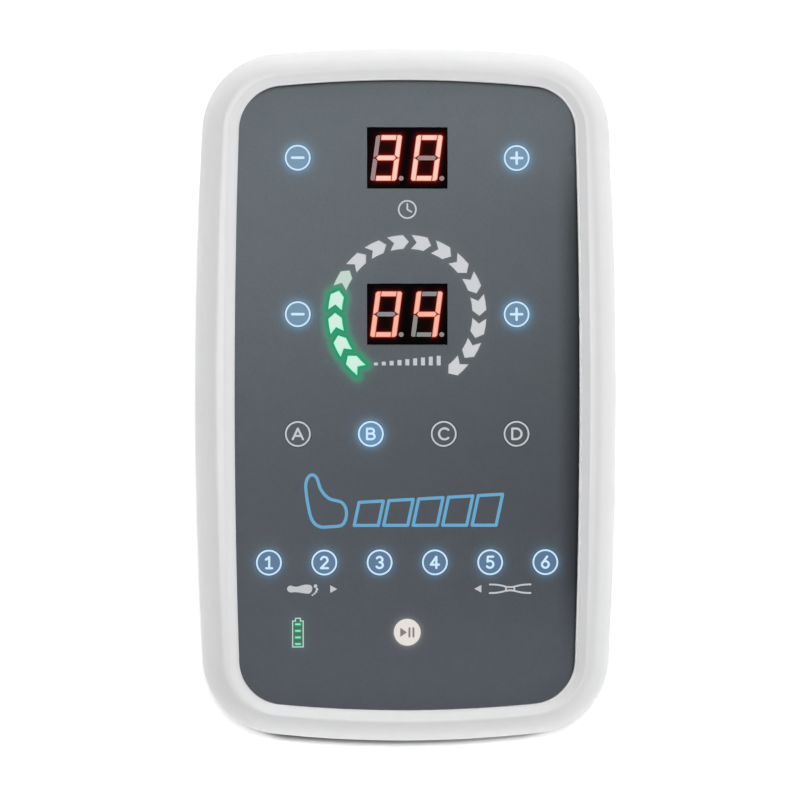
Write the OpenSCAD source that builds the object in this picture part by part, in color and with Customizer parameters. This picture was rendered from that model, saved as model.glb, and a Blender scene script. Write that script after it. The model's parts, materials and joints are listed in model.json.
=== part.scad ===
// Compression therapy pump: a six-chamber air pump for leg sleeves, lying on its back.
// +X is the panel's right, +Y its top end, +Z the way the panel faces. Millimetres.
// The origin is on the table, under the middle of the casing.

/* [Casing] */
// Width of the casing at its widest
case_w = 133; // [131:0.5:150]
// Length of the casing at its longest
case_l = 218.4; // [217:0.2:236]
// Depth from the back face to the crest of the front frame
case_h = 97; // [94:0.5:112]
// Radius of the bowed sides
side_bow_r = 1550; // [1200:50:2000]
// Radius of the bowed top end
top_bow_r = 520; // [440:20:640]
// Radius of the bowed bottom end
bottom_bow_r = 380; // [340:20:500]
// Radius of the casing's corners, seen from the front
case_corner_r = 25; // [22:0.5:28]
// Thickness of the casing's walls
wall = 2.6; // [2:0.1:3]
// Width of the rounded shoulder of the front frame, seen from the front
shoulder_w = 7.2; // [5:0.1:7.4]
// Depth of that shoulder
shoulder_h = 16; // [12:0.5:20]
// Depth of the front cover, from the crest to the seam
front_depth = 24; // [22:0.5:30]
// Rounding at the edge of the back
back_round = 12; // [9:0.5:13]
// How much the rear cover narrows towards the back, each side
back_draft = 3; // [1:0.5:4]
// Thickness of the lip that the front cover slides over
lip_t = 1.7; // [1.2:0.1:2.2]
// Height of that lip above the seam
lip_h = 2.5; // [1.5:0.5:4]
// Clearance round the lip
lip_gap = 0.15; // [0.1:0.05:0.3]
// Bevel of the front cover at the seam
seam_bevel = 0.4; // [0.2:0.1:0.8]

/* [Control panel] */
// Width of the printed panel film
panel_w = 107.8; // [104:0.2:109]
// Length of the printed panel film
panel_l = 196.9; // [190:0.1:198]
// Radius of the film's bowed sides
panel_side_bow_r = 2500; // [1500:100:4000]
// Radius of the film's bowed ends
panel_end_bow_r = 415; // [360:5:520]
// Radius of the film's corners
panel_corner_r = 14; // [11:0.5:16]
// Thickness of the film
film_t = 0.5; // [0.3:0.1:0.8]
// Clearance round the film and in its windows
film_gap = 0.1; // [0.05:0.05:0.3]
// Thickness of the plate that carries the film
plate_t = 2.5; // [2:0.1:3.5]
// Width of the slope from the crest down to the film
slope_w = 3.4; // [2.4:0.1:3.5]
// Drop of that slope
slope_drop = 1.8; // [1:0.1:2.5]
// Step from the foot of the slope down to the film
film_step = 0.6; // [0.3:0.1:1]

/* [Keys] */
// Radius of a key cap
key_r = 4.15; // [3.6:0.05:4.6]
// Running clearance of a key in the plate
key_gap = 0.1; // [0.05:0.01:0.15]
// Travel of a key
key_travel = 0.35; // [0.2:0.05:0.4]
// Radius of the flange that keeps a key under the plate
key_flange_r = 5.2; // [5:0.1:5.8]
// Thickness of that flange
key_flange_t = 1; // [0.8:0.1:1.2]
// Radius of the foot that presses the switch
key_foot_r = 1.6; // [1.2:0.1:2]
// Distance of the outer key columns from the middle
column_x = 34.2; // [32.5:0.1:36]
// Height of the time row above the middle
time_y = 74.2; // [70:0.1:75]
// Height of the pressure row above the middle
pressure_y = 25.4; // [20:0.1:28]
// Height of the programme row
mode_y = -12; // [-14:0.1:-10]
// Height of the chamber row
chamber_y = -52.2; // [-56:0.1:-46]
// Spacing of the chamber keys
chamber_pitch = 17.3; // [15:0.1:17.6]
// Height of the start row
start_y = -74.1; // [-75:0.1:-70]

/* [Displays] */
// Width of a two-digit display module
display_w = 25; // [24:0.1:26]
// Length of a two-digit display module
display_l = 19; // [18:0.1:20]
// Depth of a display module
display_t = 8; // [7.6:0.1:8.4]
// Depth of a display's face below the top of the film
display_sink = 0.15; // [0:0.05:0.3]
// Height of a digit
digit_h = 14.2; // [13:0.1:15]
// Width of a digit
digit_w = 8.2; // [7:0.1:8.6]
// Spacing of the digits
digit_pitch = 12.7; // [12:0.1:13]
// Lean of the digits, in degrees
digit_slant = 7.5; // [0:0.5:10]
// Width of a lit bar
bar_w = 1.5; // [1.2:0.1:1.8]
// Depth of the lit bars in the display's face
bar_depth = 1.5; // [1:0.1:3]

/* [Pressure gauge] */
// Number of arrows in the ring
arrow_count = 16; // [8:1:16]
// Angle from one arrow to the next
arrow_pitch = 18; // [17.5:0.5:20]
// Outer radius of the ring of arrows
arrow_outer_r = 24.8; // [24:0.1:26]
// Inner radius of the ring of arrows
arrow_inner_r = 20.4; // [19.5:0.1:21]
// Thickness of the light guide's ring
guide_t = 1.6; // [1.2:0.1:2]

/* [Control board] */
// Width of the control board
board_w = 99; // [98:0.5:102]
// How far the control board reaches past the outer key rows
board_margin = 7.9; // [7.5:0.1:8.5]
// Thickness of the boards
board_t = 1.6; // [1:0.1:2]
// Height of a key switch
switch_h = 3.1; // [2.8:0.1:3.3]
// Width of a key switch
switch_w = 6; // [5:0.1:6.5]
// Radius of the posts that carry the boards
post_r = 3.5; // [3:0.1:4]

/* [Power button] */
// Radius of the power button
power_r = 4.65; // [4:0.05:4.8]
// Radius of the round recess it sits in
power_recess_r = 5.75; // [5.4:0.05:6]
// Distance of the button from the middle, towards the top end
power_y = 71.7; // [66:0.1:73]
// Distance of the button's axis below the crest
power_drop = 12.5; // [12:0.1:13]
// Depth of the recess
power_recess_t = 1.8; // [1:0.1:2]
// Travel of the power button
power_travel = 1; // [0.5:0.1:1.2]

/* [Air sockets] */
// Distance of each air socket from the middle
socket_x = 20; // [19.5:0.5:20.5]
// Height of the sockets' axis above the table
socket_z = 42; // [40:0.5:44]
// Width of a socket's face
socket_w = 34; // [32:0.5:35]
// Height of a socket's face
socket_h = 26; // [24:0.5:27]
// Radius of an air port
port_r = 2.5; // [2:0.1:2.8]
// Depth of an air port
port_depth = 8; // [6:0.5:8]
// Spacing of the ports across
port_pitch_x = 11; // [10:0.5:11]
// Spacing of the ports up and down
port_pitch_z = 13; // [11:0.5:14]
// Depth of the socket's face inside the top wall
socket_sink = 5.5; // [5:0.1:6]
// Radius of the air passages
passage_r = 1.4; // [1:0.1:1.6]
// Outer radius of the hose barbs
barb_r = 2.6; // [2.2:0.1:2.8]
// Wall of the air hoses
hose_wall = 1.1; // [0.8:0.1:1.3]

/* [Valves] */
// Number of solenoid valves: one for each chamber and one exhaust
valve_count = 7; // [3:1:7]
// Spacing of the valves
valve_pitch = 14; // [13:0.5:15]
// Outer radius of a valve coil
coil_r = 6.2; // [5:0.1:6.4]
// Length of a valve coil
coil_l = 22; // [18:0.5:26]
// Radius of a valve plunger
plunger_r = 2.2; // [1.8:0.1:2.6]
// Travel of a valve plunger
plunger_travel = 1; // [0.5:0.1:1.5]
// Running clearance of a plunger in its coil
plunger_gap = 0.08; // [0.05:0.01:0.1]

/* [Air pump] */
// Distance of the pump's axis left of the middle
pump_x = 27; // [25:0.5:28]
// Height of the motor's axis above the table
pump_z = 32; // [31.5:0.5:34]
// Radius of the motor can
motor_r = 15; // [13:0.5:16]
// Length of the motor can
motor_l = 42; // [36:1:44]
// Wall of the motor can
motor_wall = 1; // [0.8:0.1:1.5]
// Radius of the motor shaft
shaft_r = 1.5; // [1:0.1:2]
// Running clearance of the shaft in its bearings
shaft_gap = 0.05; // [0.02:0.01:0.1]
// Throw of the eccentric
throw = 1; // [0.5:0.1:1.2]
// Width and height of the crank housing
crank_w = 34; // [33:0.5:36]
// Length of the crank housing
crank_l = 28; // [26:0.5:30]
// Height of the pump head
head_h = 12; // [10:0.5:14]
// Thickness of the rubber diaphragm
diaphragm_t = 1.2; // [0.8:0.1:1.6]
// Radius of a rubber mount
mount_r = 5; // [4:0.1:6]

/* [Battery] */
// Radius of a battery cell
cell_r = 9.1; // [8.8:0.1:9.3]
// Length of a battery cell
cell_l = 65; // [60:0.5:66]
// Distance of the battery's middle right of the middle
battery_x = 30; // [29:0.5:31]
// Wall of the battery tray
tray_wall = 2; // [1.5:0.1:2.5]

/* [Power inlet] */
// Radius of the power inlet's hole
jack_r = 2.75; // [2.5:0.05:3.2]
// Radius of its centre pin
jack_pin_r = 1; // [0.6:0.05:1.2]
// Depth of the power inlet's hole
jack_depth = 9.5; // [8:0.5:11]
// Outer radius of the inlet's nose
jack_nose_r = 4.6; // [4.2:0.1:5]

/* [Feet and screws] */
// Radius of a rubber foot
foot_r = 7; // [5:0.5:9]
// How far the feet stand out of the back
foot_h = 3; // [2:0.5:4]
// Depth of the pockets that hold the feet
foot_pocket = 1.2; // [0.8:0.1:1.6]
// Distance of the feet from the middle, across
foot_x = 38; // [30:1:40]
// Distance of the feet from the middle, along
foot_y = 70; // [62:1:72]
// Radius of the cover screws
screw_r = 1.48; // [1.2:0.02:1.6]
// Length of the cover screws
screw_l = 22; // [18:1:24]
// Distance of the cover screws from the middle, across
screw_x = 46; // [44:0.5:47]
// Distance of the cover screws from the ends of the control board
screw_clear = 5.9; // [5:0.1:6.5]
// Radius of the wells that the cover screws sit in
well_r = 3.5; // [3.2:0.1:4]

/* [Hidden] */
$fn = 64;

// Steps round a quarter of an outline: along the side, round the corner, along the end.
side_steps = 3;
corner_steps = 8;
end_steps = 5;
shoulder_steps = 7;
round_steps = 5;
// How far a cut runs past the surface that it opens.
cut = 1;
// Clearance between pieces that lie against each other without a running fit.
seat_gap = 0.05;
// Room past the tip of a screw in its pilot hole.
tip_gap = 0.5;
// Clearance of a screw in the piece that it passes through, and in the piece that it holds.
screw_gap = 0.22;
thread_gap = 0.02;

// Levels, from the table up.
back_z = foot_h;
crest_z = back_z + case_h;
seam_z = crest_z - front_depth;
floor_z = back_z + wall;
film_z = crest_z - slope_drop - film_step;
pocket_z = film_z - film_t;
plate_z = pocket_z - plate_t;
display_z = film_z - display_sink;
board_z = display_z - display_t;
board_under = board_z - board_t;
board_low = start_y - board_margin;
board_high = time_y + board_margin;
screw_y = board_high + screw_clear;

// An outline is [width, length, side bow, top bow, bottom bow, corner radius].
casing = [case_w, case_l, side_bow_r, top_bow_r, bottom_bow_r, case_corner_r];
panel = [panel_w, panel_l, panel_side_bow_r, panel_end_bow_r, panel_end_bow_r, panel_corner_r];
end_bezel = (case_l - panel_l) / 2;
shoulder = min(shoulder_w, end_bezel - slope_w - 0.1);

key_rows = [
  ["time_down", [-column_x, time_y]], ["time_up", [column_x, time_y]],
  ["pressure_down", [-column_x, pressure_y]], ["pressure_up", [column_x, pressure_y]],
  for (i = [0:3]) [str("mode_", "abcd"[i]), [column_x * (2 * i / 3 - 1), mode_y]],
  for (i = [1:6]) [str("chamber_", i), [chamber_pitch * (i - 3.5), chamber_y]],
  ["start", [0, start_y]]];
valve_axes = [for (i = [0:valve_count - 1]) valve_pitch * (i - (valve_count - 1) / 2)];

// ---- Outlines and skins ----

// Centre of the corner arc that meets both the side's bow and the end's bow.
function corner_centre(o, end_r) =
  let (s = [o[0] / 2 - o[2], 0], e = [0, o[1] / 2 - end_r], a = o[2] - o[5], b = end_r - o[5])
  let (gap = norm(e - s), u = (e - s) / gap, t = (a * a - b * b + gap * gap) / (2 * gap))
  s + t * u + sqrt(a * a - t * t) * [-u[1], u[0]];

// A quarter of an outline drawn in by d, from the middle of the side to the middle of the end.
function quarter(o, end_r, d) =
  let (s = [o[0] / 2 - o[2], 0], e = [0, o[1] / 2 - end_r], c = corner_centre(o, end_r))
  let (a1 = atan2(c[1], c[0] - s[0]), a2 = atan2(c[1] - e[1], c[0]))
  concat(
    [for (i = [0:side_steps - 1]) s + (o[2] - d) * direction(a1 * i / side_steps)],
    [for (i = [0:corner_steps - 1]) c + (o[5] - d) * direction(a1 + (a2 - a1) * i / corner_steps)],
    [for (i = [0:end_steps]) e + (end_r - d) * direction(a2 + (90 - a2) * i / end_steps)]);

function direction(a) = [cos(a), sin(a)];

// A whole outline drawn in by d, anticlockwise from the middle of the right side.
function outline(o, d = 0) =
  let (top = quarter(o, o[3], d), low = quarter(o, o[4], d), n = len(top) - 1)
  concat(
    top,
    [for (i = [n - 1:-1:1]) [-top[i][0], top[i][1]]],
    [for (i = [0:n]) -low[i]],
    [for (i = [n - 1:-1:1]) [low[i][0], -low[i][1]]]);

function level(o, d, z) = [for (p = outline(o, d)) [p[0], p[1], z]];

// A closed skin through a stack of levels, the first and the last of them capped.
module skin(levels) {
  n = len(levels[0]);
  m = len(levels);
  polyhedron(
    points = [for (ring = levels) each ring],
    faces = concat(
      [[for (i = [0:n - 1]) i]],
      [for (j = [0:m - 2], i = [0:n - 1]) let (k = (i + 1) % n)
        each [[j * n + i, (j + 1) * n + i, (j + 1) * n + k], [j * n + i, (j + 1) * n + k, j * n + k]]],
      [[for (i = [n - 1:-1:0]) (m - 1) * n + i]]),
    convexity = 8);
}

// How far the front frame's shoulder lies in from the outline at a height z.
function shoulder_in(z) =
  let (t = max(0, 1 - (crest_z - z) / shoulder_h)) shoulder * (1 - sqrt(1 - t * t));

// How far the rear cover lies in from the outline at a height z above its rounding.
function draft_in(z) = back_draft * (seam_z - z) / case_h;

// Points of the panel's own pieces.
function on_ring(r, a, d) = [r * cos(a - d), r * sin(a - d)];

// One arrow of the ring, drawn in by g all round; its body is centred on the angle a.
function arrow(a, g = 0) =
  let (body = 5.8, nose = 10.4, notch = -1.65, slant = 1.4)
  let (ro = arrow_outer_r - g, ri = arrow_inner_r + g, rm = (ro + ri) / 2, s = g / rm * 180 / PI)
  [on_ring(ro, a, s - body), on_ring(ro, a, 0), on_ring(ro, a, body - s / 2),
   on_ring(rm, a, nose - slant * s), on_ring(ri, a, body - s / 2), on_ring(ri, a, 0),
   on_ring(ri, a, s - body), on_ring(rm, a, notch + slant * s)];

function arrow_angle(i) = 90 + arrow_pitch * ((arrow_count - 1) / 2 - i);

module arrows(g = 0) {
  for (i = [0:arrow_count - 1])
    translate([0, pressure_y]) polygon(arrow(arrow_angle(i), g));
}

// The battery mark: an upright cell, width by length, with its cap.
mark = [3.84, 8.64];
mark_cap = [2.04, 0.84];

module battery_mark(g = 0) {
  low = -(mark[1] + mark_cap[1]) / 2;
  translate([-column_x, start_y]) {
    translate([g - mark[0] / 2, low + g]) square([mark[0] - 2 * g, mark[1] - 2 * g]);
    translate([g - mark_cap[0] / 2, 0]) square([mark_cap[0] - 2 * g, -low - g]);
  }
}

module at_corners(x, y) {
  for (sx = [-1, 1], sy = [-1, 1]) translate([sx * x, sy * y, 0]) children();
}

module along_y() { rotate([-90, 0, 0]) children(); }

module along_x() { rotate([0, 90, 0]) children(); }

module tube(r, bore, h) {
  difference() {
    cylinder(r = r, h = h);
    translate([0, 0, -cut]) cylinder(r = bore, h = h + 2 * cut);
  }
}

// ---- Front cover ----

// Posts under the plate: four near the board's sides and two along its middle.
post_edge = 5.5;
post_clear = 3.2;
side_post_y = [52, -32];
middle_post_y = [time_y - display_l / 2 - post_clear - post_r, -33];
board_posts = [
  for (y = side_post_y, s = [-1, 1]) [s * (board_w / 2 - post_edge), y],
  for (y = middle_post_y) [0, y]];
power_z = crest_z - power_drop;
// The side's surface at the power button, and the floor of the recess in it.
side_x = case_w / 2 - side_bow_r + sqrt(side_bow_r * side_bow_r - power_y * power_y) - shoulder_in(power_z);
recess_x = side_x - power_recess_t;
collar_l = 5;
collar_r = power_r + 2.2;
collar_root = 0.4;
collar_x = recess_x - collar_l;
front_post_r = 4.5;
front_post_z = seam_z - 1.8;
rear_post_top = front_post_z - 0.2;

// Height over which the inside of the wall still follows the shoulder.
inner_turn = 5;

module front_shell() {
  low = plate_z - inner_turn;
  skin(concat(
    [level(casing, shoulder_in(plate_z) + wall, plate_z)],
    [level(casing, shoulder_in(low) + wall, low)],
    [level(casing, wall, seam_z)],
    [level(casing, seam_bevel, seam_z)],
    [level(casing, 0, seam_z + seam_bevel)],
    [for (i = [0:shoulder_steps]) let (a = 90 * i / shoulder_steps)
      level(casing, shoulder * (1 - cos(a)), crest_z - shoulder_h * (1 - sin(a)))],
    [level(panel, -slope_w, crest_z)],
    [level(panel, -slope_w * 0.82, crest_z - slope_drop * 0.04)],
    [level(panel, -slope_w * 0.6, crest_z - slope_drop * 0.2)],
    [level(panel, -slope_w * 0.2, crest_z - slope_drop * 0.8)],
    [level(panel, -film_gap, crest_z - slope_drop)],
    [level(panel, -film_gap, pocket_z)]));
}

module front_cover() {
  color("white") difference() {
    union() {
      front_shell();
      for (p = board_posts) translate([p[0], p[1], board_z])
        cylinder(r = post_r, h = plate_z - board_z + cut);
      at_corners(screw_x, screw_y) translate([0, 0, front_post_z])
        cylinder(r = front_post_r, h = plate_z - front_post_z + cut);
      translate([collar_x, power_y, power_z]) along_x() cylinder(r = collar_r, h = collar_l + collar_root);
    }
    for (k = key_rows) translate([k[1][0], k[1][1], plate_z - cut])
      cylinder(r = key_r + key_gap, h = plate_t + 2 * cut);
    translate([0, 0, plate_z - cut]) linear_extrude(plate_t + 2 * cut) {
      arrows();
      battery_mark();
    }
    for (y = [time_y, pressure_y]) translate([0, y, plate_z + plate_t / 2])
      cube([display_w + 2 * film_gap, display_l + 2 * film_gap, plate_t + 2 * cut], center = true);
    for (p = board_posts) translate([p[0], p[1], board_z - cut])
      cylinder(r = board_screw_r + thread_gap, h = board_screw_l - board_t + tip_gap + cut);
    at_corners(screw_x, screw_y) translate([0, 0, front_post_z - cut])
      cylinder(r = screw_r + thread_gap, h = well_top + screw_l - front_post_z + tip_gap + cut);
    translate([recess_x, power_y, power_z]) along_x() cylinder(r = power_recess_r, h = wall + cut);
    translate([collar_x - cut, power_y, power_z]) along_x()
      cylinder(r = power_r + key_gap, h = collar_l + wall);
  }
}

// The button's face, its bevelled edge, and the flange that keeps it behind the collar.
power_sink = 0.9;
power_face_x = side_x - power_sink;
button_bevel = 0.5;
button_flange = 1.4;
button_l = power_face_x - collar_x + seat_gap;

module power_button() {
  color("gainsboro") translate([collar_x - seat_gap, power_y, power_z]) along_x() {
    translate([0, 0, -button_flange]) cylinder(r = power_r + 1, h = button_flange);
    translate([0, 0, -button_flange / 2])
      cylinder(r = power_r, h = button_l - button_bevel + button_flange / 2);
    translate([0, 0, button_l - button_bevel])
      cylinder(r1 = power_r, r2 = power_r - button_bevel, h = button_bevel);
  }
}

// ---- Panel film, keys, displays and light guides ----

module panel_film() {
  color("dimgray") difference() {
    translate([0, 0, pocket_z]) linear_extrude(film_t) polygon(outline(panel));
    for (k = key_rows) translate([k[1][0], k[1][1], pocket_z - cut])
      cylinder(r = key_r + key_gap, h = film_t + 2 * cut);
    translate([0, 0, pocket_z - cut]) linear_extrude(film_t + 2 * cut) {
      arrows();
      battery_mark();
    }
    for (y = [time_y, pressure_y]) translate([0, y, pocket_z + film_t / 2])
      cube([display_w + 2 * film_gap, display_l + 2 * film_gap, film_t + 2 * cut], center = true);
  }
}

module key(name) {
  place = [for (k = key_rows) if (k[0] == name) k[1]][0];
  flange_z = plate_z - seat_gap - key_flange_t;
  foot_z = board_z + switch_h + key_travel + seat_gap;
  middle_z = flange_z + key_flange_t / 2;
  color(name == "start" ? "antiquewhite" : "slategray") translate([place[0], place[1], 0]) {
    translate([0, 0, flange_z]) cylinder(r = key_flange_r, h = key_flange_t);
    translate([0, 0, middle_z]) cylinder(r = key_r, h = film_z - middle_z);
    translate([0, 0, foot_z]) cylinder(r = key_foot_r, h = middle_z - foot_z);
  }
}

// How far a light guide reaches past its windows under the plate.
guide_rim = 1.6;

module gauge_light_guide() {
  color("honeydew") {
    translate([0, 0, plate_z - guide_t]) linear_extrude(film_z - plate_z + guide_t) arrows(film_gap);
    translate([0, pressure_y, plate_z - guide_t])
      tube(arrow_outer_r + guide_rim, arrow_inner_r - guide_rim, guide_t);
  }
}

module battery_light_guide() {
  color("honeydew") {
    translate([0, 0, plate_z - guide_t]) linear_extrude(film_z - plate_z + guide_t) battery_mark(film_gap);
    translate([-column_x, start_y, plate_z - guide_t / 2])
      cube([mark[0] + 2 * guide_rim, mark[1] + mark_cap[1] + 2 * guide_rim, guide_t], center = true);
  }
}

// A point of a digit leaned over by the slant.
function lean(p) = [p[0] + p[1] * tan(digit_slant), p[1]];

// The bars of one digit, drawn out by g: four upright, two level and a pointed one, and the dot.
bar_gap = 0.14;
bar_bevel = 0.5;
dot_r = 0.83;
dot_shift = [0.6, 0.75];

module digit(g = 0) {
  x = digit_w / 2;
  y = digit_h / 2;
  gap = bar_gap;
  for (sx = [-1, 1], sy = [-1, 1]) polygon([for (p = [
      [x - bar_w - g, y + g], [x - bar_bevel, y + g], [x + g, y - bar_bevel], [x + g, gap - g],
      [x - bar_w / 3, gap - g], [x - bar_w - g, bar_w / 2 + gap]]) lean([sx * p[0], sy * p[1]])]);
  for (sy = [-1, 1]) polygon([for (p = [
      [-1, y - bar_w - g], [1, y - bar_w - g], [1, y + g], [-1, y + g]])
      lean([p[0] * (x - bar_w - 2 * gap + g), sy * p[1]])]);
  polygon([for (p = [
      [-1, 0, -1], [-1, 1, 0], [1, 1, 0], [1, 0, 1], [1, -1, 0], [-1, -1, 0]])
      lean([p[0] * (x - bar_w - gap) + p[2] * (bar_w / 2 - gap + g), p[1] * (bar_w / 2 + g)])]);
  translate([x + dot_shift[0], dot_shift[1] - y]) circle(r = dot_r + g);
}

// The pair of digits sits a little left of the middle, to leave room for the second dot.
digit_shift = 0.25;

module digits(y, g = 0) {
  for (side = [-1, 1]) translate([side * digit_pitch / 2 - digit_shift, y]) digit(g);
}

module display(y) {
  color("black") difference() {
    translate([-display_w / 2, y - display_l / 2, board_z]) cube([display_w, display_l, display_t]);
    translate([0, 0, display_z - bar_depth]) linear_extrude(bar_depth + cut) digits(y);
  }
}

module display_bars(y) {
  color("tomato") translate([0, 0, display_z - bar_depth]) linear_extrude(bar_depth) digits(y, -seat_gap / 2);
}

// ---- Control board and what is soldered to it ----

board_screw_r = 1;
board_screw_l = 6;

module control_board() {
  color("darkgreen") difference() {
    translate([-board_w / 2, board_low, board_under]) cube([board_w, board_high - board_low, board_t]);
    for (p = board_posts) translate([p[0], p[1], board_under - cut])
      cylinder(r = board_screw_r + screw_gap, h = board_t + 2 * cut);
  }
}

switch_cap_h = 0.6;
// The side switch behind the power button, and the plunger that reaches to the button.
side_switch = [5, 7, 4];
side_plunger_r = 1.2;
side_plunger_end = collar_x - seat_gap - button_flange - power_travel - seat_gap;

module key_switches() {
  body_h = switch_h - switch_cap_h;
  color("dimgray") {
    for (k = key_rows) translate([k[1][0], k[1][1], board_z]) {
      translate([0, 0, body_h / 2]) cube([switch_w, switch_w, body_h], center = true);
      cylinder(r = key_foot_r, h = switch_h);
    }
    translate([board_w / 2, power_y, board_under - side_switch[2]]) {
      translate([-side_switch[0], -side_switch[1] / 2, 0]) cube(side_switch);
      translate([-cut, 0, side_switch[2] / 2]) along_x()
        cylinder(r = side_plunger_r, h = side_plunger_end - board_w / 2 + cut);
    }
  }
}

led = [1.6, 1.2, 0.7];
led_gap = 1.2;
battery_led_pitch = 2;

module led_at(x, y) { translate([x, y, board_z + led[2] / 2]) cube(led, center = true); }

module indicator_leds() {
  ring_r = (arrow_outer_r + arrow_inner_r) / 2;
  color("ivory") {
    for (i = [0:arrow_count - 1]) let (p = ring_r * direction(arrow_angle(i)))
      led_at(p[0], pressure_y + p[1]);
    for (k = key_rows) led_at(k[1][0], k[1][1] + switch_w / 2 + led_gap);
    for (i = [-1.5:1.5]) led_at(-column_x, start_y + battery_led_pitch * i);
  }
}

// A processor, a driver and two connectors under the board: [x, y, width, length, depth] of each.
board_chips = [[0, -5, 14, 14, 1.6], [27, -17, 10, 6, 1.4], [-35, 20, 6, 20, 5], [0, -73, 16, 6, 6]];
sensor = [10, 10, 6];
sensor_x = 20;
sensor_barb_l = 6;
sensor_barb_r = barb_r - 1;
sensor_bore_r = passage_r - 0.6;

module board_parts() {
  color("black") translate([0, 0, board_under]) {
    for (c = board_chips) translate([c[0] - c[2] / 2, c[1] - c[3] / 2, -c[4]]) cube([c[2], c[3], c[4]]);
    translate([sensor_x, manifold_y, -sensor[2]]) {
      translate([-sensor[0] / 2, -sensor[1] / 2, 0]) cube(sensor);
      translate([0, 0, -sensor_barb_l]) tube(sensor_barb_r, sensor_bore_r, sensor_barb_l);
    }
  }
}

buzzer_place = [18, -50];
buzzer_r = 6;
buzzer_h = 5;
buzzer_hole_r = 0.8;

module buzzer() {
  color("black") translate([buzzer_place[0], buzzer_place[1], board_under - buzzer_h])
    tube(buzzer_r, buzzer_hole_r, buzzer_h);
}

// A small screw, its head down: the point where the head meets the board is the origin.
small_head_r = 1.9;
small_head_h = 1.4;

module small_screw() {
  translate([0, 0, -small_head_h]) cylinder(r = small_head_r, h = small_head_h);
  translate([0, 0, -small_head_h / 2]) cylinder(r = board_screw_r, h = board_screw_l + small_head_h / 2);
}

module board_screws() {
  color("silver") for (p = board_posts) translate([p[0], p[1], board_under]) small_screw();
}

// ---- Rear cover ----

well_top = seam_z - 14;
well_wall = 2.2;
lip_root = 5;
lip_taper = 3;
end_in = draft_in(socket_z);
// The outer surface of the top wall in line with the sockets, and the sockets' faces in it.
top_y = case_l / 2 - top_bow_r + sqrt(top_bow_r * top_bow_r - socket_x * socket_x) - end_in;
socket_y = top_y - socket_sink;
socket_l = 10;
socket_frame = 3;
socket_flange = 2;
socket_rim = 2;
socket_back_y = socket_y - socket_l - socket_flange;
// The valve manifold stands behind the sockets, a hose's length away.
manifold = [98, 16, 26];
hose_l = 20.3;
manifold_face_y = socket_back_y - hose_l;
manifold_y = manifold_face_y - manifold[1] / 2;
manifold_z = socket_z - manifold[2] / 2;
ear = [10, 12, 5];
ear_screw_out = 3.5;
manifold_posts = [for (s = [-1, 1]) [s * (manifold[0] / 2 + ear_screw_out), manifold_y]];
// The power inlet in the bottom wall, its board behind it, and the four posts of that board.
jack_rise = 21;
jack_sink = 0.5;
jack_z = back_z + jack_rise;
jack_y = -(case_l / 2 - draft_in(jack_z)) + jack_sink;
jack_nose_l = 9;
jack_root = 7;
jack_boss = 4;
power_board_size = [68, 20];
power_board_drop = 6;
power_board_z = jack_z - power_board_drop;
power_board_y = jack_y + jack_root + power_board_size[1] / 2;
power_board_end = power_board_y + power_board_size[1] / 2;
power_post_r = 3;
power_post_edge = [4, 3.5];
power_posts = [for (sx = [-1, 1], sy = [-1, 1]) [
  sx * (power_board_size[0] / 2 - power_post_edge[0]),
  power_board_y + sy * (power_board_size[1] / 2 - power_post_edge[1])]];
// The pump lies along the casing, clear of that board and of the screw wells, on four posts.
pump_clear = 2;
pump_post_in = 6;
mount_clear = 0.6;
well_end = well_r + well_wall - screw_y;
motor_y = max(power_board_end + pump_clear, well_end + mount_clear + mount_r - pump_post_in);
crank_y = motor_y + motor_l + crank_l / 2;
crank_floor = 2;
crank_z = pump_z - crank_w / 2;
bracket_z = crank_z - crank_floor;
bracket_t = 1.4;
bracket_w = 50;
pump_post_x = 20;
pump_posts = [for (sx = [-1, 1], y = [motor_y + pump_post_in, crank_y + crank_l / 2 - pump_post_in])
  [sx * pump_post_x - pump_x, y]];
mount_rise = 2.4;
mount_z = floor_z + mount_rise;
mount_t = bracket_z - mount_z;
inner_post_r = 4;
inner_screw_l = 9;
// The bare recess for a plate in the back: width, length and depth, and its distance above the middle.
plate_recess = [60, 34, 0.4];
plate_recess_y = 15;
vent_count = 7;
vent = [2.2, 26];
vent_pitch = 4.5;
vent_in = 4;
vent_y = motor_y + motor_l - vent_in;

module rear_shell() {
  turn = back_z + back_round;
  inner_z = seam_z - lip_root - lip_taper;
  in = draft_in(turn);
  r_in = back_round - wall;
  skin(concat(
    [for (i = [0:round_steps]) let (a = 90 - 90 * i / round_steps)
      level(casing, in + back_round * (1 - cos(a)), turn - back_round * sin(a))],
    [level(casing, 0, seam_z)],
    [level(casing, wall + lip_gap, seam_z)],
    [level(casing, wall + lip_gap, seam_z + lip_h)],
    [level(casing, wall + lip_gap + lip_t, seam_z + lip_h)],
    [level(casing, wall + lip_gap + lip_t, seam_z - lip_root)],
    [level(casing, wall + lip_gap + draft_in(inner_z), inner_z)],
    [for (i = [0:round_steps]) let (a = 90 * i / round_steps)
      level(casing, in + back_round - r_in * cos(a), turn - r_in * sin(a))]));
}

module rear_post(p, top, r) {
  translate([p[0], p[1], back_z + wall / 2]) cylinder(r = r, h = top - back_z - wall / 2);
}

module pilot(p, top, r, depth) {
  translate([p[0], p[1], top - depth]) cylinder(r = r + thread_gap, h = depth + cut);
}

// The thick frame round a socket, behind the top wall and trimmed to the wall's curve.
module socket_surround(side) {
  w = socket_w / 2 + socket_frame;
  h = socket_h / 2 + socket_frame;
  intersection() {
    translate([0, 0, socket_z - h]) linear_extrude(2 * h)
      polygon(outline(casing, draft_in(socket_z - h) + wall / 2));
    translate([side * socket_x - w, socket_y - socket_l + socket_flange, socket_z - h])
      cube([2 * w, 2 * socket_l, 2 * h]);
  }
}

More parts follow.
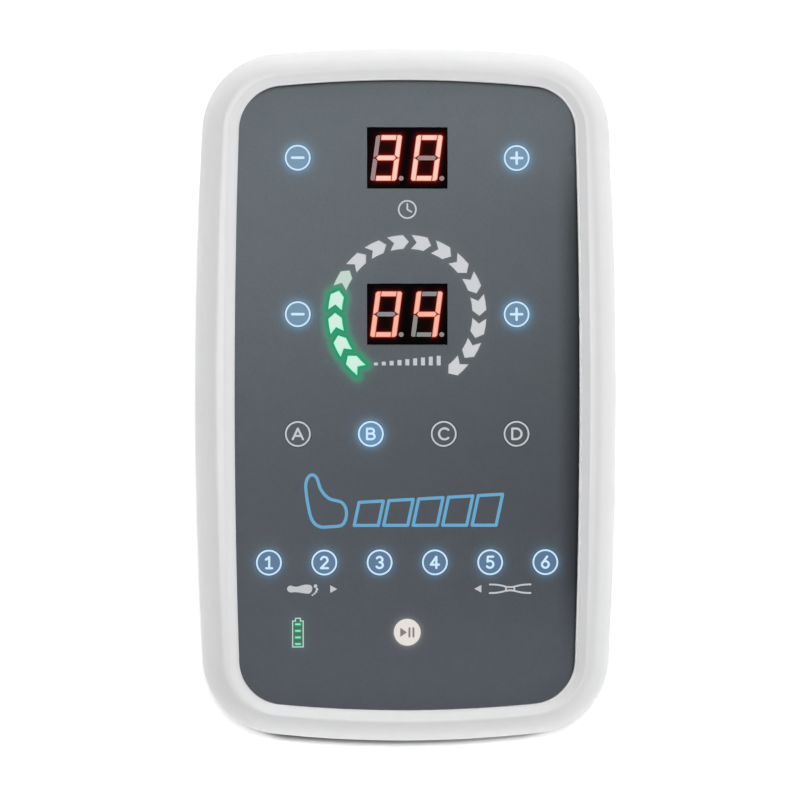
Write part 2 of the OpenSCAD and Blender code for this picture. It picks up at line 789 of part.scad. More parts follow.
module rear_cover() {
  color("white") difference() {
    union() {
      rear_shell();
      at_corners(screw_x, screw_y) rear_post([0, 0], rear_post_top, well_r + well_wall);
      for (p = pump_posts) rear_post(p, mount_z, inner_post_r);
      for (p = manifold_posts) rear_post(p, manifold_z, inner_post_r);
      for (p = power_posts) rear_post(p, power_board_z, power_post_r);
      for (side = [-1, 1]) socket_surround(side);
      translate([0, jack_y + wall / 2, jack_z]) along_y()
        cylinder(r = jack_nose_r + well_wall, h = wall / 2 + jack_boss);
    }
    at_corners(screw_x, screw_y) {
      translate([0, 0, back_z - cut]) cylinder(r = well_r, h = well_top - back_z + cut);
      translate([0, 0, well_top - cut])
        cylinder(r = screw_r + screw_gap, h = rear_post_top - well_top + 2 * cut);
    }
    at_corners(foot_x, foot_y) translate([0, 0, back_z - cut])
      cylinder(r = foot_r + film_gap, h = foot_pocket + cut);
    for (p = pump_posts) pilot(p, mount_z, screw_r, inner_screw_l - mount_t - bracket_t + tip_gap);
    for (p = manifold_posts) pilot(p, manifold_z, screw_r, inner_screw_l - ear[2] + tip_gap);
    for (p = power_posts) pilot(p, power_board_z, board_screw_r, board_screw_l - board_t + tip_gap);
    for (side = [-1, 1])
      translate([side * socket_x - socket_w / 2, socket_y - socket_l - cut, socket_z - socket_h / 2])
        cube([socket_w, 2 * socket_l + socket_sink, socket_h]);
    translate([0, jack_y - 2 * cut, jack_z]) along_y()
      cylinder(r = jack_nose_r + film_gap, h = jack_nose_l + 3 * cut);
    translate([-plate_recess[0] / 2, plate_recess_y - plate_recess[1] / 2, back_z - cut])
      cube([plate_recess[0], plate_recess[1], plate_recess[2] + cut]);
    // The intake slots, under the filter.
    for (i = [0:vent_count - 1]) translate([vent_x(i) - vent[0] / 2, vent_y - vent[1] / 2, back_z - cut])
      cube([vent[0], vent[1], wall + 2 * cut]);
  }
}

function vent_x(i) = -pump_x + vent_pitch * (i - (vent_count - 1) / 2);

filter_t = 3;
filter_rim = 2;

module intake_filter() {
  w = vent_pitch * (vent_count - 1) + vent[0] + 2 * filter_rim;
  l = vent[1] + 2 * filter_rim;
  color("darkgray") translate([-pump_x - w / 2, vent_y - l / 2, floor_z]) cube([w, l, filter_t]);
}

module rubber_feet() {
  bevel = 1;
  color("dimgray") at_corners(foot_x, foot_y) {
    cylinder(r1 = foot_r - bevel, r2 = foot_r, h = bevel);
    translate([0, 0, bevel]) cylinder(r = foot_r, h = foot_h + foot_pocket - bevel);
  }
}

screw_head_r = 2.8;
screw_head_h = 2.2;
drive_r = 1.2;
drive_h = 1.2;

module cover_screws() {
  color("silver") at_corners(screw_x, screw_y) translate([0, 0, well_top - screw_head_h]) difference() {
    union() {
      cylinder(r = screw_head_r, h = screw_head_h);
      translate([0, 0, screw_head_h / 2]) cylinder(r = screw_r, h = screw_l + screw_head_h / 2);
    }
    translate([0, 0, -cut]) cylinder(r = drive_r, h = cut + drive_h, $fn = 6);
  }
}

// ---- Air sockets, hoses, manifold and valves ----

barb_l = 7;
port_offsets = [for (i = [-1:1], j = [-1, 1]) [i * port_pitch_x, j * port_pitch_z / 2]];

module air_socket(side) {
  color("silver") translate([side * socket_x, socket_y, socket_z]) difference() {
    union() {
      translate([-socket_w / 2 + film_gap, -socket_l - cut, -socket_h / 2 + film_gap])
        cube([socket_w - 2 * film_gap, socket_l + cut, socket_h - 2 * film_gap]);
      translate([-socket_w / 2 - socket_rim, -socket_l - socket_flange, -socket_h / 2 - socket_rim])
        cube([socket_w + 2 * socket_rim, socket_flange, socket_h + 2 * socket_rim]);
      for (p = port_offsets) translate([p[0], -socket_l - socket_flange - barb_l, p[1]]) along_y()
        cylinder(r = barb_r, h = barb_l + cut);
    }
    for (p = port_offsets) translate([p[0], 0, p[1]]) {
      translate([0, -port_depth, 0]) along_y() cylinder(r = port_r, h = port_depth + cut);
      translate([0, -socket_l - socket_flange - barb_l - cut, 0]) along_y()
        cylinder(r = passage_r, h = socket_l + barb_l + socket_flange + cut);
    }
  }
}

// Straight hoses from the manifold to the sockets, and the two bent or upright ones above it.
crank_top = crank_z + crank_w;
head_top = crank_top + diaphragm_t + head_h;
head_barb_l = 4;
head_port_y = 7;
manifold_top = manifold_z + manifold[2];
hose_r = barb_r + hose_wall;
supply_x = -pump_x;
supply_y = crank_y - head_port_y;
supply_clear = 2.5;
supply_high = board_under - hose_r - supply_clear;
supply_bend = 7;

module air_hoses() {
  color("lightgray") {
    for (side = [-1, 1], p = port_offsets)
      translate([side * socket_x + p[0], manifold_face_y + seat_gap, socket_z + p[1]]) along_y()
        tube(hose_r, barb_r + seat_gap / 2, socket_back_y - manifold_face_y - 2 * seat_gap);
    supply_hose();
    translate([sensor_x, manifold_y, manifold_top + seat_gap])
      tube(barb_r, sensor_barb_r + seat_gap / 2, board_under - sensor[2] - manifold_top - 2 * seat_gap);
  }
}

module hose_run(h) { tube(hose_r, barb_r + seat_gap / 2, h); }

module hose_bend() {
  rotate_extrude(angle = 90) translate([supply_bend, 0]) difference() {
    circle(r = hose_r);
    circle(r = barb_r + seat_gap / 2);
  }
}

module supply_hose() {
  rise = supply_high - supply_bend;
  translate([supply_x, supply_y, head_top + seat_gap]) hose_run(rise - head_top - seat_gap);
  translate([supply_x, supply_y + supply_bend, rise]) rotate([90, 0, -90]) hose_bend();
  translate([supply_x, supply_y + supply_bend, supply_high]) along_y()
    hose_run(manifold_y - supply_y - 2 * supply_bend);
  translate([supply_x, manifold_y - supply_bend, rise]) rotate([90, 0, 90]) hose_bend();
  translate([supply_x, manifold_y, manifold_top + seat_gap]) hose_run(rise - manifold_top - seat_gap);
}

// Depths of the passages in the manifold: from its top, and from the valves' side.
top_passage = 6;
valve_passage = 5;

module valve_manifold() {
  lines = [for (side = [-1, 1], p = port_offsets) [side * socket_x + p[0], socket_z + p[1]]];
  color("whitesmoke") difference() {
    union() {
      translate([-manifold[0] / 2, manifold_face_y - manifold[1], manifold_z]) cube(manifold);
      for (p = manifold_posts) translate([p[0] - ear[0] / 2, p[1] - ear[1] / 2, manifold_z]) cube(ear);
      for (l = lines) translate([l[0], manifold_face_y - cut, l[1]]) along_y()
        cylinder(r = barb_r, h = barb_l + cut);
      translate([supply_x, manifold_y, manifold_top - cut]) cylinder(r = barb_r, h = barb_l + cut);
      translate([sensor_x, manifold_y, manifold_top - cut]) cylinder(r = sensor_barb_r, h = barb_l + cut);
    }
    for (l = lines) translate([l[0], manifold_y, l[1]]) along_y()
      cylinder(r = passage_r, h = manifold[1] / 2 + barb_l + cut);
    translate([supply_x, manifold_y, manifold_top - top_passage])
      cylinder(r = passage_r, h = barb_l + top_passage + cut);
    translate([sensor_x, manifold_y, manifold_top - top_passage])
      cylinder(r = sensor_bore_r, h = barb_l + top_passage + cut);
    for (x = valve_axes) translate([x, manifold_face_y - manifold[1] - cut, socket_z]) along_y()
      cylinder(r = passage_r, h = valve_passage + cut);
    for (p = manifold_posts) translate([p[0], p[1], manifold_z - cut])
      cylinder(r = screw_r + screw_gap, h = ear[2] + 2 * cut);
  }
}

coil_y = manifold_face_y - manifold[1] - coil_l;
coil_end = 1.5;
yoke_t = 1.2;
yoke_out = 0.3;
// A spring pushed flat is as long as its turns; it takes the plunger's stroke on top of that.
spring_flat = 3;
spring_l = spring_flat + plunger_travel;
plunger_l = coil_l - coil_end - spring_l - 2 * seat_gap;

// Each coil is a wound can, closed at its far end, inside a square steel yoke.
module valve_coils() {
  yoke = [2 * coil_r, 2 * (coil_r + yoke_out), yoke_t];
  color("darkorange") for (x = valve_axes) translate([x, coil_y, socket_z]) along_y() difference() {
    union() {
      cylinder(r = coil_r, h = coil_l);
      for (z = [0, coil_l - yoke_t]) translate([-yoke[0] / 2, -yoke[1] / 2, z]) cube(yoke);
    }
    translate([0, 0, coil_end]) cylinder(r = plunger_r + plunger_gap, h = coil_l);
  }
}

module valve_plunger(i) {
  color("silver") translate([valve_axes[i - 1], coil_y + coil_end + spring_l + seat_gap, socket_z]) along_y()
    cylinder(r = plunger_r, h = plunger_l);
}

spring_wire = 0.35;
spring_gap = 0.1;
spring_turns = 4;
spring_rings = 8;
spring_sides = 5;

// A coil spring along Z, its wire swept round a helix.
module coil_spring(r, h) {
  rings = [for (i = [0:spring_turns * spring_rings]) let (a = 360 * i / spring_rings)
    let (z = spring_wire + (h - 2 * spring_wire) * i / (spring_turns * spring_rings))
    [for (k = [0:spring_sides - 1]) let (b = 360 * k / spring_sides)
      [(r + spring_wire * cos(b)) * cos(a), (r + spring_wire * cos(b)) * sin(a), z + spring_wire * sin(b)]]];
  skin(rings);
}

module valve_springs() {
  color("silver") for (x = valve_axes) translate([x, coil_y + coil_end + seat_gap, socket_z]) along_y()
    coil_spring(plunger_r - spring_wire - spring_gap, spring_l - seat_gap);
}

// ---- Air pump ----

bearing_r = 4;
bearing_l = 3;
shaft_out = 4;
armature_gap = 0.8;
armature_in = 8;
eccentric_r = 3.4;
rod_gap = 0.15;
rod_wall = 2;
rod_bore = eccentric_r + throw + rod_gap;
rod_l = 8;
rod_stem_r = 2.6;
rod_plate = [7, 1.5];
crank_bore = 10;
crank_wall = 3;
chamber_r = 11;
chamber_h = 2;

module motor_can() {
  color("lightslategray") translate([-pump_x, motor_y, pump_z]) along_y() difference() {
    union() {
      cylinder(r = motor_r, h = motor_l);
      translate([0, 0, -bearing_l]) cylinder(r = bearing_r, h = bearing_l + cut);
    }
    translate([0, 0, motor_wall]) cylinder(r = motor_r - motor_wall, h = motor_l - 2 * motor_wall);
    translate([0, 0, -bearing_l - cut]) cylinder(r = shaft_r + shaft_gap, h = motor_l + bearing_l + 2 * cut);
  }
}

// The shaft, its armature and the eccentric, which hangs on the low side at rest.
module pump_rotor() {
  color("silver") translate([-pump_x, motor_y, pump_z]) along_y() {
    translate([0, 0, -shaft_out]) cylinder(r = shaft_r, h = shaft_out + motor_l + crank_l - crank_wall - cut);
    translate([0, 0, armature_in])
      cylinder(r = motor_r - motor_wall - armature_gap, h = motor_l - 2 * armature_in);
    translate([0, throw, motor_l + crank_l / 2 - rod_l / 2]) cylinder(r = eccentric_r, h = rod_l);
  }
}

module crank_housing() {
  color("dimgray") translate([-pump_x, crank_y, pump_z]) difference() {
    translate([-crank_w / 2, -crank_l / 2, crank_z - pump_z]) cube([crank_w, crank_l, crank_w]);
    translate([0, crank_wall - crank_l / 2, 0]) along_y()
      cylinder(r = crank_bore, h = crank_l - 2 * crank_wall);
    cylinder(r = crank_bore, h = crank_top - pump_z + cut);
    translate([0, -crank_l / 2 - cut, 0]) along_y() cylinder(r = shaft_r + shaft_gap, h = crank_l - cut);
  }
}

module pump_rod() {
  top = crank_top - pump_z - seat_gap;
  color("whitesmoke") translate([-pump_x, crank_y, pump_z]) difference() {
    union() {
      translate([0, -rod_l / 2, 0]) along_y() cylinder(r = rod_bore + rod_wall, h = rod_l);
      cylinder(r = rod_stem_r, h = top);
      translate([0, 0, top - rod_plate[1]]) cylinder(r = rod_plate[0], h = rod_plate[1]);
    }
    translate([0, -rod_l / 2 - cut, 0]) along_y() cylinder(r = rod_bore, h = rod_l + 2 * cut);
  }
}

module pump_diaphragm() {
  color("black") translate([-pump_x, crank_y, crank_top])
    cylinder(r = crank_l / 2 - cut / 2, h = diaphragm_t);
}

module pump_head() {
  color("dimgray") translate([-pump_x, crank_y, crank_top + diaphragm_t]) difference() {
    union() {
      translate([-crank_w / 2, -crank_l / 2, 0]) cube([crank_w, crank_l, head_h]);
      for (y = [-1, 1]) translate([0, y * head_port_y, head_h - cut])
        cylinder(r = barb_r, h = head_barb_l + cut);
    }
    translate([0, 0, -cut]) cylinder(r = chamber_r, h = chamber_h + cut);
    for (y = [-1, 1]) translate([0, y * head_port_y, -cut])
      cylinder(r = passage_r, h = head_h + head_barb_l + 2 * cut);
  }
}

// A steel plate on four rubber mounts, with a pad for the crank housing and a saddle for the motor.
bracket_pad = 16;
saddle = [18, 12];
saddle_in = 8;

module pump_bracket() {
  low = pump_posts[0][1] - pump_post_in;
  high = pump_posts[1][1] + pump_post_in;
  color("silver") difference() {
    union() {
      translate([-pump_x - bracket_w / 2, low, bracket_z]) cube([bracket_w, high - low, bracket_t]);
      translate([-pump_x - bracket_pad / 2, crank_y - bracket_pad / 2, bracket_z])
        cube([bracket_pad, bracket_pad, crank_floor - seat_gap]);
      translate([-pump_x - saddle[0] / 2, motor_y + saddle_in, bracket_z])
        cube([saddle[0], saddle[1], pump_z - bracket_z]);
    }
    translate([-pump_x, motor_y + saddle_in - cut, pump_z]) along_y()
      cylinder(r = motor_r + seat_gap, h = saddle[1] + 2 * cut);
    for (p = pump_posts) translate([p[0], p[1], bracket_z - cut])
      cylinder(r = screw_r + screw_gap, h = bracket_t + 2 * cut);
  }
}

module pump_mounts() {
  color("black") for (p = pump_posts) translate([p[0], p[1], mount_z])
    tube(mount_r, screw_r + screw_gap, mount_t);
}

module inner_screw(p, under_head) {
  translate([p[0], p[1], under_head]) {
    translate([0, 0, -inner_screw_l]) cylinder(r = screw_r, h = inner_screw_l + small_head_h / 2);
    cylinder(r = screw_head_r, h = small_head_h);
  }
}

module inner_screws() {
  color("silver") {
    for (p = pump_posts) inner_screw(p, bracket_z + bracket_t);
    for (p = manifold_posts) inner_screw(p, manifold_z + ear[2]);
    for (p = power_posts) translate([p[0], p[1], power_board_z + board_t]) mirror([0, 0, 1]) small_screw();
  }
}

// ---- Battery and power inlet ----

cell_gap = 1.2;
cell_end_gap = 0.2;
cell_pitch = 2 * cell_r + cell_gap;
cell_pole = [3, 1];
layer_gap = 0.1;
tray_drop = 2;
tray = [2 * (cell_pitch + tray_wall), cell_l + 2 * (tray_wall + cell_end_gap), 4 * cell_r - tray_drop];
battery_clear = 15;
battery_y = power_board_end + battery_clear + tray[1] / 2;

module battery_cells() {
  low_z = floor_z + tray_wall + cell_r + seat_gap;
  color("royalblue") for (sx = [-0.5, 0.5], layer = [0, 1])
    translate([battery_x + sx * cell_pitch, battery_y - cell_l / 2, low_z + layer * (2 * cell_r + layer_gap)])
      along_y() {
        cylinder(r = cell_r, h = cell_l - cell_pole[1]);
        cylinder(r = cell_pole[0], h = cell_l);
      }
}

module battery_tray() {
  inner = [tray[0] - 2 * tray_wall, tray[1] - 2 * tray_wall];
  color("dimgray") translate([battery_x - tray[0] / 2, battery_y - tray[1] / 2, floor_z]) difference() {
    cube(tray);
    translate([tray_wall, tray_wall, tray_wall]) cube([inner[0], inner[1], tray[2]]);
    translate([-cut, tray[1] / 4, tray_wall + cell_r]) cube([tray[0] + 2 * cut, tray[1] / 2, tray[2]]);
  }
}

// A choke on the power board: [x, y, width, length, height], and a capacitor: [x, y, radius, height].
choke = [-17, 0, 10, 8, 5];
capacitor = [14, 0, 4, 10];

module power_board() {
  size = power_board_size;
  color("darkgreen") translate([0, power_board_y, power_board_z]) difference() {
    union() {
      translate([-size[0] / 2, -size[1] / 2, 0]) cube([size[0], size[1], board_t]);
      translate([choke[0] - choke[2] / 2, choke[1] - choke[3] / 2, 0])
        cube([choke[2], choke[3], board_t + choke[4]]);
      translate([capacitor[0], capacitor[1], 0]) cylinder(r = capacitor[2], h = board_t + capacitor[3]);
    }
    for (p = power_posts) translate([p[0], p[1] - power_board_y, -cut])
      cylinder(r = board_screw_r + screw_gap, h = board_t + 2 * cut);
  }
}

// The inlet: a nose through the wall with a hole and a centre pin, and a block on the board.
jack_block = [9, 8];
jack_block_in = 0.5;
pin_in = 1;

module power_inlet() {
  block_z = power_board_z + board_t;
  block_h = jack_z + jack_block[0] / 2 - block_z;
  color("black") {
    difference() {
      union() {
        translate([0, jack_y, jack_z]) along_y() cylinder(r = jack_nose_r, h = jack_nose_l);
        translate([-jack_block[0] / 2, jack_y + jack_root + jack_block_in, block_z])
          cube([jack_block[0], jack_block[1], block_h]);
      }
      translate([0, jack_y - cut, jack_z]) along_y() cylinder(r = jack_r, h = jack_depth + cut);
    }
    translate([0, jack_y + pin_in, jack_z]) along_y() cylinder(r = jack_pin_r, h = jack_depth);
  }
}

front_cover();
rear_cover();
panel_film();
gauge_light_guide();
battery_light_guide();
display(time_y);  // time_display
display_bars(time_y);  // time_bars
display(pressure_y);  // pressure_display
display_bars(pressure_y);  // pressure_bars
key("time_down");  // key_time_down
key("time_up");  // key_time_up
key("pressure_down");  // key_pressure_down
key("pressure_up");  // key_pressure_up
key("mode_a");  // key_mode_a
key("mode_b");  // key_mode_b
key("mode_c");  // key_mode_c
key("mode_d");  // key_mode_d
key("chamber_1");  // key_chamber_1
key("chamber_2");  // key_chamber_2
key("chamber_3");  // key_chamber_3
key("chamber_4");  // key_chamber_4
key("chamber_5");  // key_chamber_5
key("chamber_6");  // key_chamber_6
key("start");  // key_start
key_switches();
indicator_leds();
control_board();
board_parts();
buzzer();
board_screws();
power_button();
air_socket(-1);  // air_socket_left
air_socket(1);  // air_socket_right
air_hoses();
valve_manifold();
valve_coils();
valve_plunger(1);  // valve_plunger_1
valve_plunger(2);  // valve_plunger_2
valve_plunger(3);  // valve_plunger_3
valve_plunger(4);  // valve_plunger_4
valve_plunger(5);  // valve_plunger_5
valve_plunger(6);  // valve_plunger_6
valve_plunger(7);  // valve_plunger_7
valve_springs();
motor_can();
pump_rotor();
crank_housing();
pump_rod();
pump_diaphragm();
pump_head();
pump_bracket();
pump_mounts();
intake_filter();
battery_cells();
battery_tray();
power_board();
power_inlet();
rubber_feet();
cover_screws();
inner_screws();
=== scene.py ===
# %% [markdown]
# # A compression therapy pump
# The real object is a bedside air pump for leg sleeves. A deep white casing lies on four rubber
# feet, and a grey key panel with number displays and a ring of arrows is let into its front.
# The solids that hold it together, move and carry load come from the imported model, which is
# loaded first and stays fixed. Every piece made below is placed in that same frame.

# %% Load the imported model
import json
import math

import bpy
import numpy as np
from mathutils import Matrix, Vector
from mathutils.geometry import delaunay_2d_cdt


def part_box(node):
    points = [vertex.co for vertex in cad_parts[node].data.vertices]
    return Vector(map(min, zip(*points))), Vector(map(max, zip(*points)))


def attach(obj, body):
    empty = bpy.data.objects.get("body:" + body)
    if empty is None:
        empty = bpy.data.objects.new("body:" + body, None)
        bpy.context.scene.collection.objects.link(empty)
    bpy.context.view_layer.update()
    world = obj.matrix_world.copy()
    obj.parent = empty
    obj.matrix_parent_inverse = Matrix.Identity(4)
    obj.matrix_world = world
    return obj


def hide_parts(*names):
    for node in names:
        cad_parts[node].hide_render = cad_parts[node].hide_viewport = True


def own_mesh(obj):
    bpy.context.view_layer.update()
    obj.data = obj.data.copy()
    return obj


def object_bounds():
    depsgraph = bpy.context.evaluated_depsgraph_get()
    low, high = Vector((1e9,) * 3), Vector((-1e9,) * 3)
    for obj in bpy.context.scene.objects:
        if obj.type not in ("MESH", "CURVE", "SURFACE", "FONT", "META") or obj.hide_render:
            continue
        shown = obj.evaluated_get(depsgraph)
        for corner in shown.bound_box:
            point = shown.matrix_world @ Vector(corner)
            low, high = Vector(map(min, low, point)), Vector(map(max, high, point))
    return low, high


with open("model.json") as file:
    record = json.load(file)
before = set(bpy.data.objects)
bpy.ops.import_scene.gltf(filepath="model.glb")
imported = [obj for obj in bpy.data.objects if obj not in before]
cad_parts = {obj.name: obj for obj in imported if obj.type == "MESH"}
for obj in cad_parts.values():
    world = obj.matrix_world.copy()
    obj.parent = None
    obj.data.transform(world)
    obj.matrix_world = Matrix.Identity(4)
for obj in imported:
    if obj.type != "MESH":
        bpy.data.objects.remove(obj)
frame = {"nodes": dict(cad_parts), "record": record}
cad_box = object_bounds()
MM = 0.001
scene = bpy.context.scene
print("casing", [round(1000 * s, 1) for s in cad_box[1] - cad_box[0]], "mm")

# %% [markdown]
# ## The camera
# The photograph looks almost straight down on the panel from a little over a metre, a touch from
# the left and from the top end. A long lens keeps the sides nearly parallel. The view is fixed
# by three facts: how many millimetres of the panel one picture point covers, the point of the
# panel that lies in the middle of the picture, and how far the line of sight leans.

# %% Camera
PICTURE = 800
MM_PER_POINT = 0.3125
CAMERA_DISTANCE = 1200
LEAN_LEFT = math.radians(1.85)
LEAN_TOP = math.radians(0.85)
SENSOR = 36
film_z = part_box("panel_film")[1].z / MM
aim = np.array([-2.28, -1.41, film_z])
back = np.array([-math.tan(LEAN_LEFT), math.tan(LEAN_TOP), 1.0])
back /= np.linalg.norm(back)
camera_data = bpy.data.cameras.new("camera")
camera_data.sensor_width = SENSOR
camera_data.lens = SENSOR * CAMERA_DISTANCE / (PICTURE * MM_PER_POINT)
camera_data.clip_start = 0.05
camera = bpy.data.objects.new("camera", camera_data)
camera.location = (aim + CAMERA_DISTANCE * back) * MM
right = np.cross((0, 1, 0), back)
right /= np.linalg.norm(right)
camera.rotation_mode = "QUATERNION"
camera.rotation_quaternion = Matrix((right, np.cross(back, right), back)).transposed().to_quaternion()
scene.collection.objects.link(camera)
scene.camera = camera
scene.view_settings.view_transform = "Standard"
print("lens", round(camera_data.lens), "mm")

# %% [markdown]
# ## Colour and nodes
# Colours are written as the hex values that a picture shows, and Blender works with linear light,
# so one function turns the first into the second. One more function adds a shader node and fills
# its sockets, either with a value or with another node's output.

# %% Colour and node helpers
BRUSH_DEPTH = 0.01


def linear(hex_colour):
    """The linear light of an sRGB hex colour: each channel over 1.055 plus 0.055, to the power 2.4."""
    code = np.array([int(hex_colour[i:i + 2], 16) for i in (1, 3, 5)]) / 255
    return np.where(code <= 0.04045, code / 12.92, ((code + 0.055) / 1.055) ** 2.4)


def rgba(hex_colour):
    return (*linear(hex_colour), 1.0)


def add(tree, kind, inputs=None, **settings):
    """Adds a shader node of a kind, gives it its settings, and fills its sockets with values or
    links. The kind is Blender's name for it without ShaderNode in front."""
    node = tree.nodes.new("ShaderNode" + kind)
    for key, value in settings.items():
        setattr(node, key, value)
    for socket, value in (inputs or {}).items():
        if isinstance(value, bpy.types.NodeSocket):
            tree.links.new(value, node.inputs[socket])
        else:
            node.inputs[socket].default_value = value
    return node


def new_material(name):
    """An empty node material with its output, and the Object coordinates that its patterns read."""
    material = bpy.data.materials.new(name)
    material.use_nodes = True
    tree = material.node_tree
    tree.nodes.clear()
    place = add(tree, "TexCoord").outputs["Object"]
    return material, tree, place


def speckle(tree, place, size_mm, low, high, detail=2.0):
    """Soft random spots of a size in millimetres, as a number that runs from low to high."""
    noise = add(tree, "TexNoise",
                {"Vector": place, "Scale": 1 / (size_mm * MM), "Detail": detail, "Roughness": 0.55})
    return add(tree, "MapRange",
               {"Value": noise.outputs["Fac"], "From Min": 0.25, "From Max": 0.75,
                "To Min": low, "To Max": high}).outputs["Result"]


def shaded(tree, colour, factor):
    """A colour times a number: the number is a grey that multiplies it."""
    return add(tree, "VectorMath", {0: colour, 1: factor}, operation="MULTIPLY").outputs[0]


def maths(tree, operation, *values):
    """The result of a Math node on numbers or other nodes' outputs."""
    return add(tree, "Math", dict(enumerate(values)), operation=operation).outputs[0]


def s_curve(tree, value, start, end, low=0.0, high=1.0):
    """A number that goes softly from low to high while a value goes from start to end."""
    return add(tree, "MapRange",
               {"Value": value, "From Min": start, "From Max": end, "To Min": low, "To Max": high},
               interpolation_type="SMOOTHSTEP").outputs["Result"]


def bumped(tree, height, depth_mm):
    """The surface's direction, tilted by the slopes of a height between 0 and a depth."""
    return add(tree, "Bump", {"Height": height, "Distance": depth_mm * MM}).outputs["Normal"]


def vertex_light(tree):
    """The light that each vertex gives off, and the share of its own colour that stays open."""
    glow = add(tree, "Attribute", attribute_name="glow").outputs
    return glow["Color"], maths(tree, "SUBTRACT", 1.0, glow["Alpha"])


def finished(material, tree, inputs):
    """The material, ended by a Principled surface with these inputs."""
    surface = add(tree, "BsdfPrincipled", inputs).outputs["BSDF"]
    add(tree, "OutputMaterial", {"Surface": surface})
    return material


def plastic(name, hex_colour, roughness, grain_mm, depth_mm, tone=0.03, level=0.5):
    """A moulded plastic, rubber or foam: one colour with slight spots, and the grain of its mould."""
    material, tree, place = new_material(name)
    spots = speckle(tree, place, 12 * grain_mm, 1 - tone, 1 + tone)
    gloss = speckle(tree, place, 5 * grain_mm, roughness - 0.04, roughness + 0.04)
    grain = bumped(tree, speckle(tree, place, grain_mm, 0, 1, detail=3.0), depth_mm)
    return finished(material, tree, {
        "Base Color": shaded(tree, tuple(linear(hex_colour)), spots), "Roughness": gloss, "IOR": 1.5,
        "Specular IOR Level": level, "Normal": grain})


def metal(name, hex_colour, roughness, grain_mm, stretch):
    """A plated or drawn metal: its brushing is noise that is drawn out along one axis."""
    material, tree, place = new_material(name)
    drawn = add(tree, "Mapping", {"Vector": place, "Scale": stretch}).outputs["Vector"]
    gloss = speckle(tree, drawn, grain_mm, roughness - 0.08, roughness + 0.08)
    tint = shaded(tree, tuple(linear(hex_colour)), speckle(tree, drawn, grain_mm, 0.94, 1.04))
    brushing = bumped(tree, speckle(tree, drawn, grain_mm, 0, 1), BRUSH_DEPTH)
    return finished(material, tree, {"Base Color": tint, "Metallic": 1.0, "Roughness": gloss,
                                     "Normal": brushing})


print("white plastic is", np.round(linear("#EBEBEC"), 3), "in linear light")

# %% [markdown]
# ## The outline of the casing and of the panel
# Seen from the front, both are rounded rectangles whose sides bow outwards: a long arc for each
# side, another for each end, and a corner arc that meets the two without a kink. A superellipse
# would be shorter to write, but its corners don't keep one radius, and the film, its frame and
# the casing have to run parallel. With true arcs, an outline drawn in by a distance keeps its
# centres and only its radii shrink.

# %% Outlines as arcs
SIDE_STEPS, CORNER_STEPS, END_STEPS = 20, 22, 24
CASING = {"width": 133, "length": 218.4, "side_r": 1550, "top_r": 520, "low_r": 380, "corner_r": 25}
PANEL = {"width": 107.8, "length": 196.9, "side_r": 2500, "top_r": 415, "low_r": 415, "corner_r": 14}


def arc(centre, radius, start, end, steps):
    """Points of a circle: the centre plus the radius times the cosine and sine of even angles."""
    angle = np.linspace(start, end, steps)
    return np.asarray(centre) + radius * np.stack((np.cos(angle), np.sin(angle)), axis=1)


def quarter(form, end_r, inset):
    """A quarter outline. The corner's centre lies as far from the side's centre as their radii
    differ, and as far from the end's centre as theirs do: two circles that cross."""
    side = np.array([form["width"] / 2 - form["side_r"], 0.0])
    end = np.array([0.0, form["length"] / 2 - end_r])
    a, b = form["side_r"] - form["corner_r"], end_r - form["corner_r"]
    gap = np.linalg.norm(end - side)
    u = (end - side) / gap
    t = (a * a - b * b + gap * gap) / (2 * gap)
    corner = side + t * u + math.sqrt(a * a - t * t) * np.array([-u[1], u[0]])
    turn = math.atan2(corner[1], corner[0] - side[0])
    finish = math.atan2(corner[1] - end[1], corner[0])
    return np.concatenate((
        arc(side, form["side_r"] - inset, 0, turn, SIDE_STEPS)[:-1],
        arc(corner, form["corner_r"] - inset, turn, finish, CORNER_STEPS)[:-1],
        arc(end, end_r - inset, finish, math.pi / 2, END_STEPS)))


def outline(form, inset=0.0):
    """The whole outline, anticlockwise from the middle of the right side: a quarter for the top
    right, its mirror image, and the same for the lower half with the lower end's radius."""
    top, low = quarter(form, form["top_r"], inset), quarter(form, form["low_r"], inset)
    return np.concatenate((top, top[-2:0:-1] * (-1, 1), low * (-1, -1), low[-2:0:-1] * (1, -1)))


print("points in an outline:", len(outline(CASING)))

# %% [markdown]
# ## From points to a mesh
# Three ways of making a surface do for almost everything here. A *skin* joins a stack of rings,
# which suits both covers. A *turned* form carries a profile round an axis, for keys, feet and
# bores. A *plate* is a flat sheet of any outline with any holes, for the film, the printing and
# the lit bars: a triangulation that keeps the outlines as edges also takes extra points, and
# those points can then carry a glow.

# %% Mesh helpers
def smooth_shade(mesh, degrees):
    """Shades a mesh smoothly, apart from the edges where it turns by more than an angle."""
    mesh.shade_smooth()
    mesh.set_sharp_from_angle(angle=math.radians(degrees))


def mesh_object(name, points, faces, smooth=None):
    """A mesh object from points in millimetres. With smooth, edges flatter than it are smoothed."""
    mesh = bpy.data.meshes.new(name)
    mesh.from_pydata((np.asarray(points) * MM).tolist(), [], faces)
    mesh.update()
    if smooth is not None:
        smooth_shade(mesh, smooth)
    made = bpy.data.objects.new(name, mesh)
    scene.collection.objects.link(made)
    return made


def skin(rings):
    """Points and faces of a closed skin: a four-cornered face between each two points of a ring
    and the next ring's, and one face over the first ring and over the last."""
    rings = np.asarray(rings)
    levels, count = rings.shape[:2]
    index = np.arange(levels * count).reshape(levels, count)
    low, high = index[:-1], index[1:]
    walls = np.stack((low, np.roll(low, -1, 1), np.roll(high, -1, 1), high), axis=-1)
    caps = [index[0, ::-1].tolist(), index[-1].tolist()]
    return rings.reshape(-1, 3), walls.reshape(-1, 4).tolist() + caps


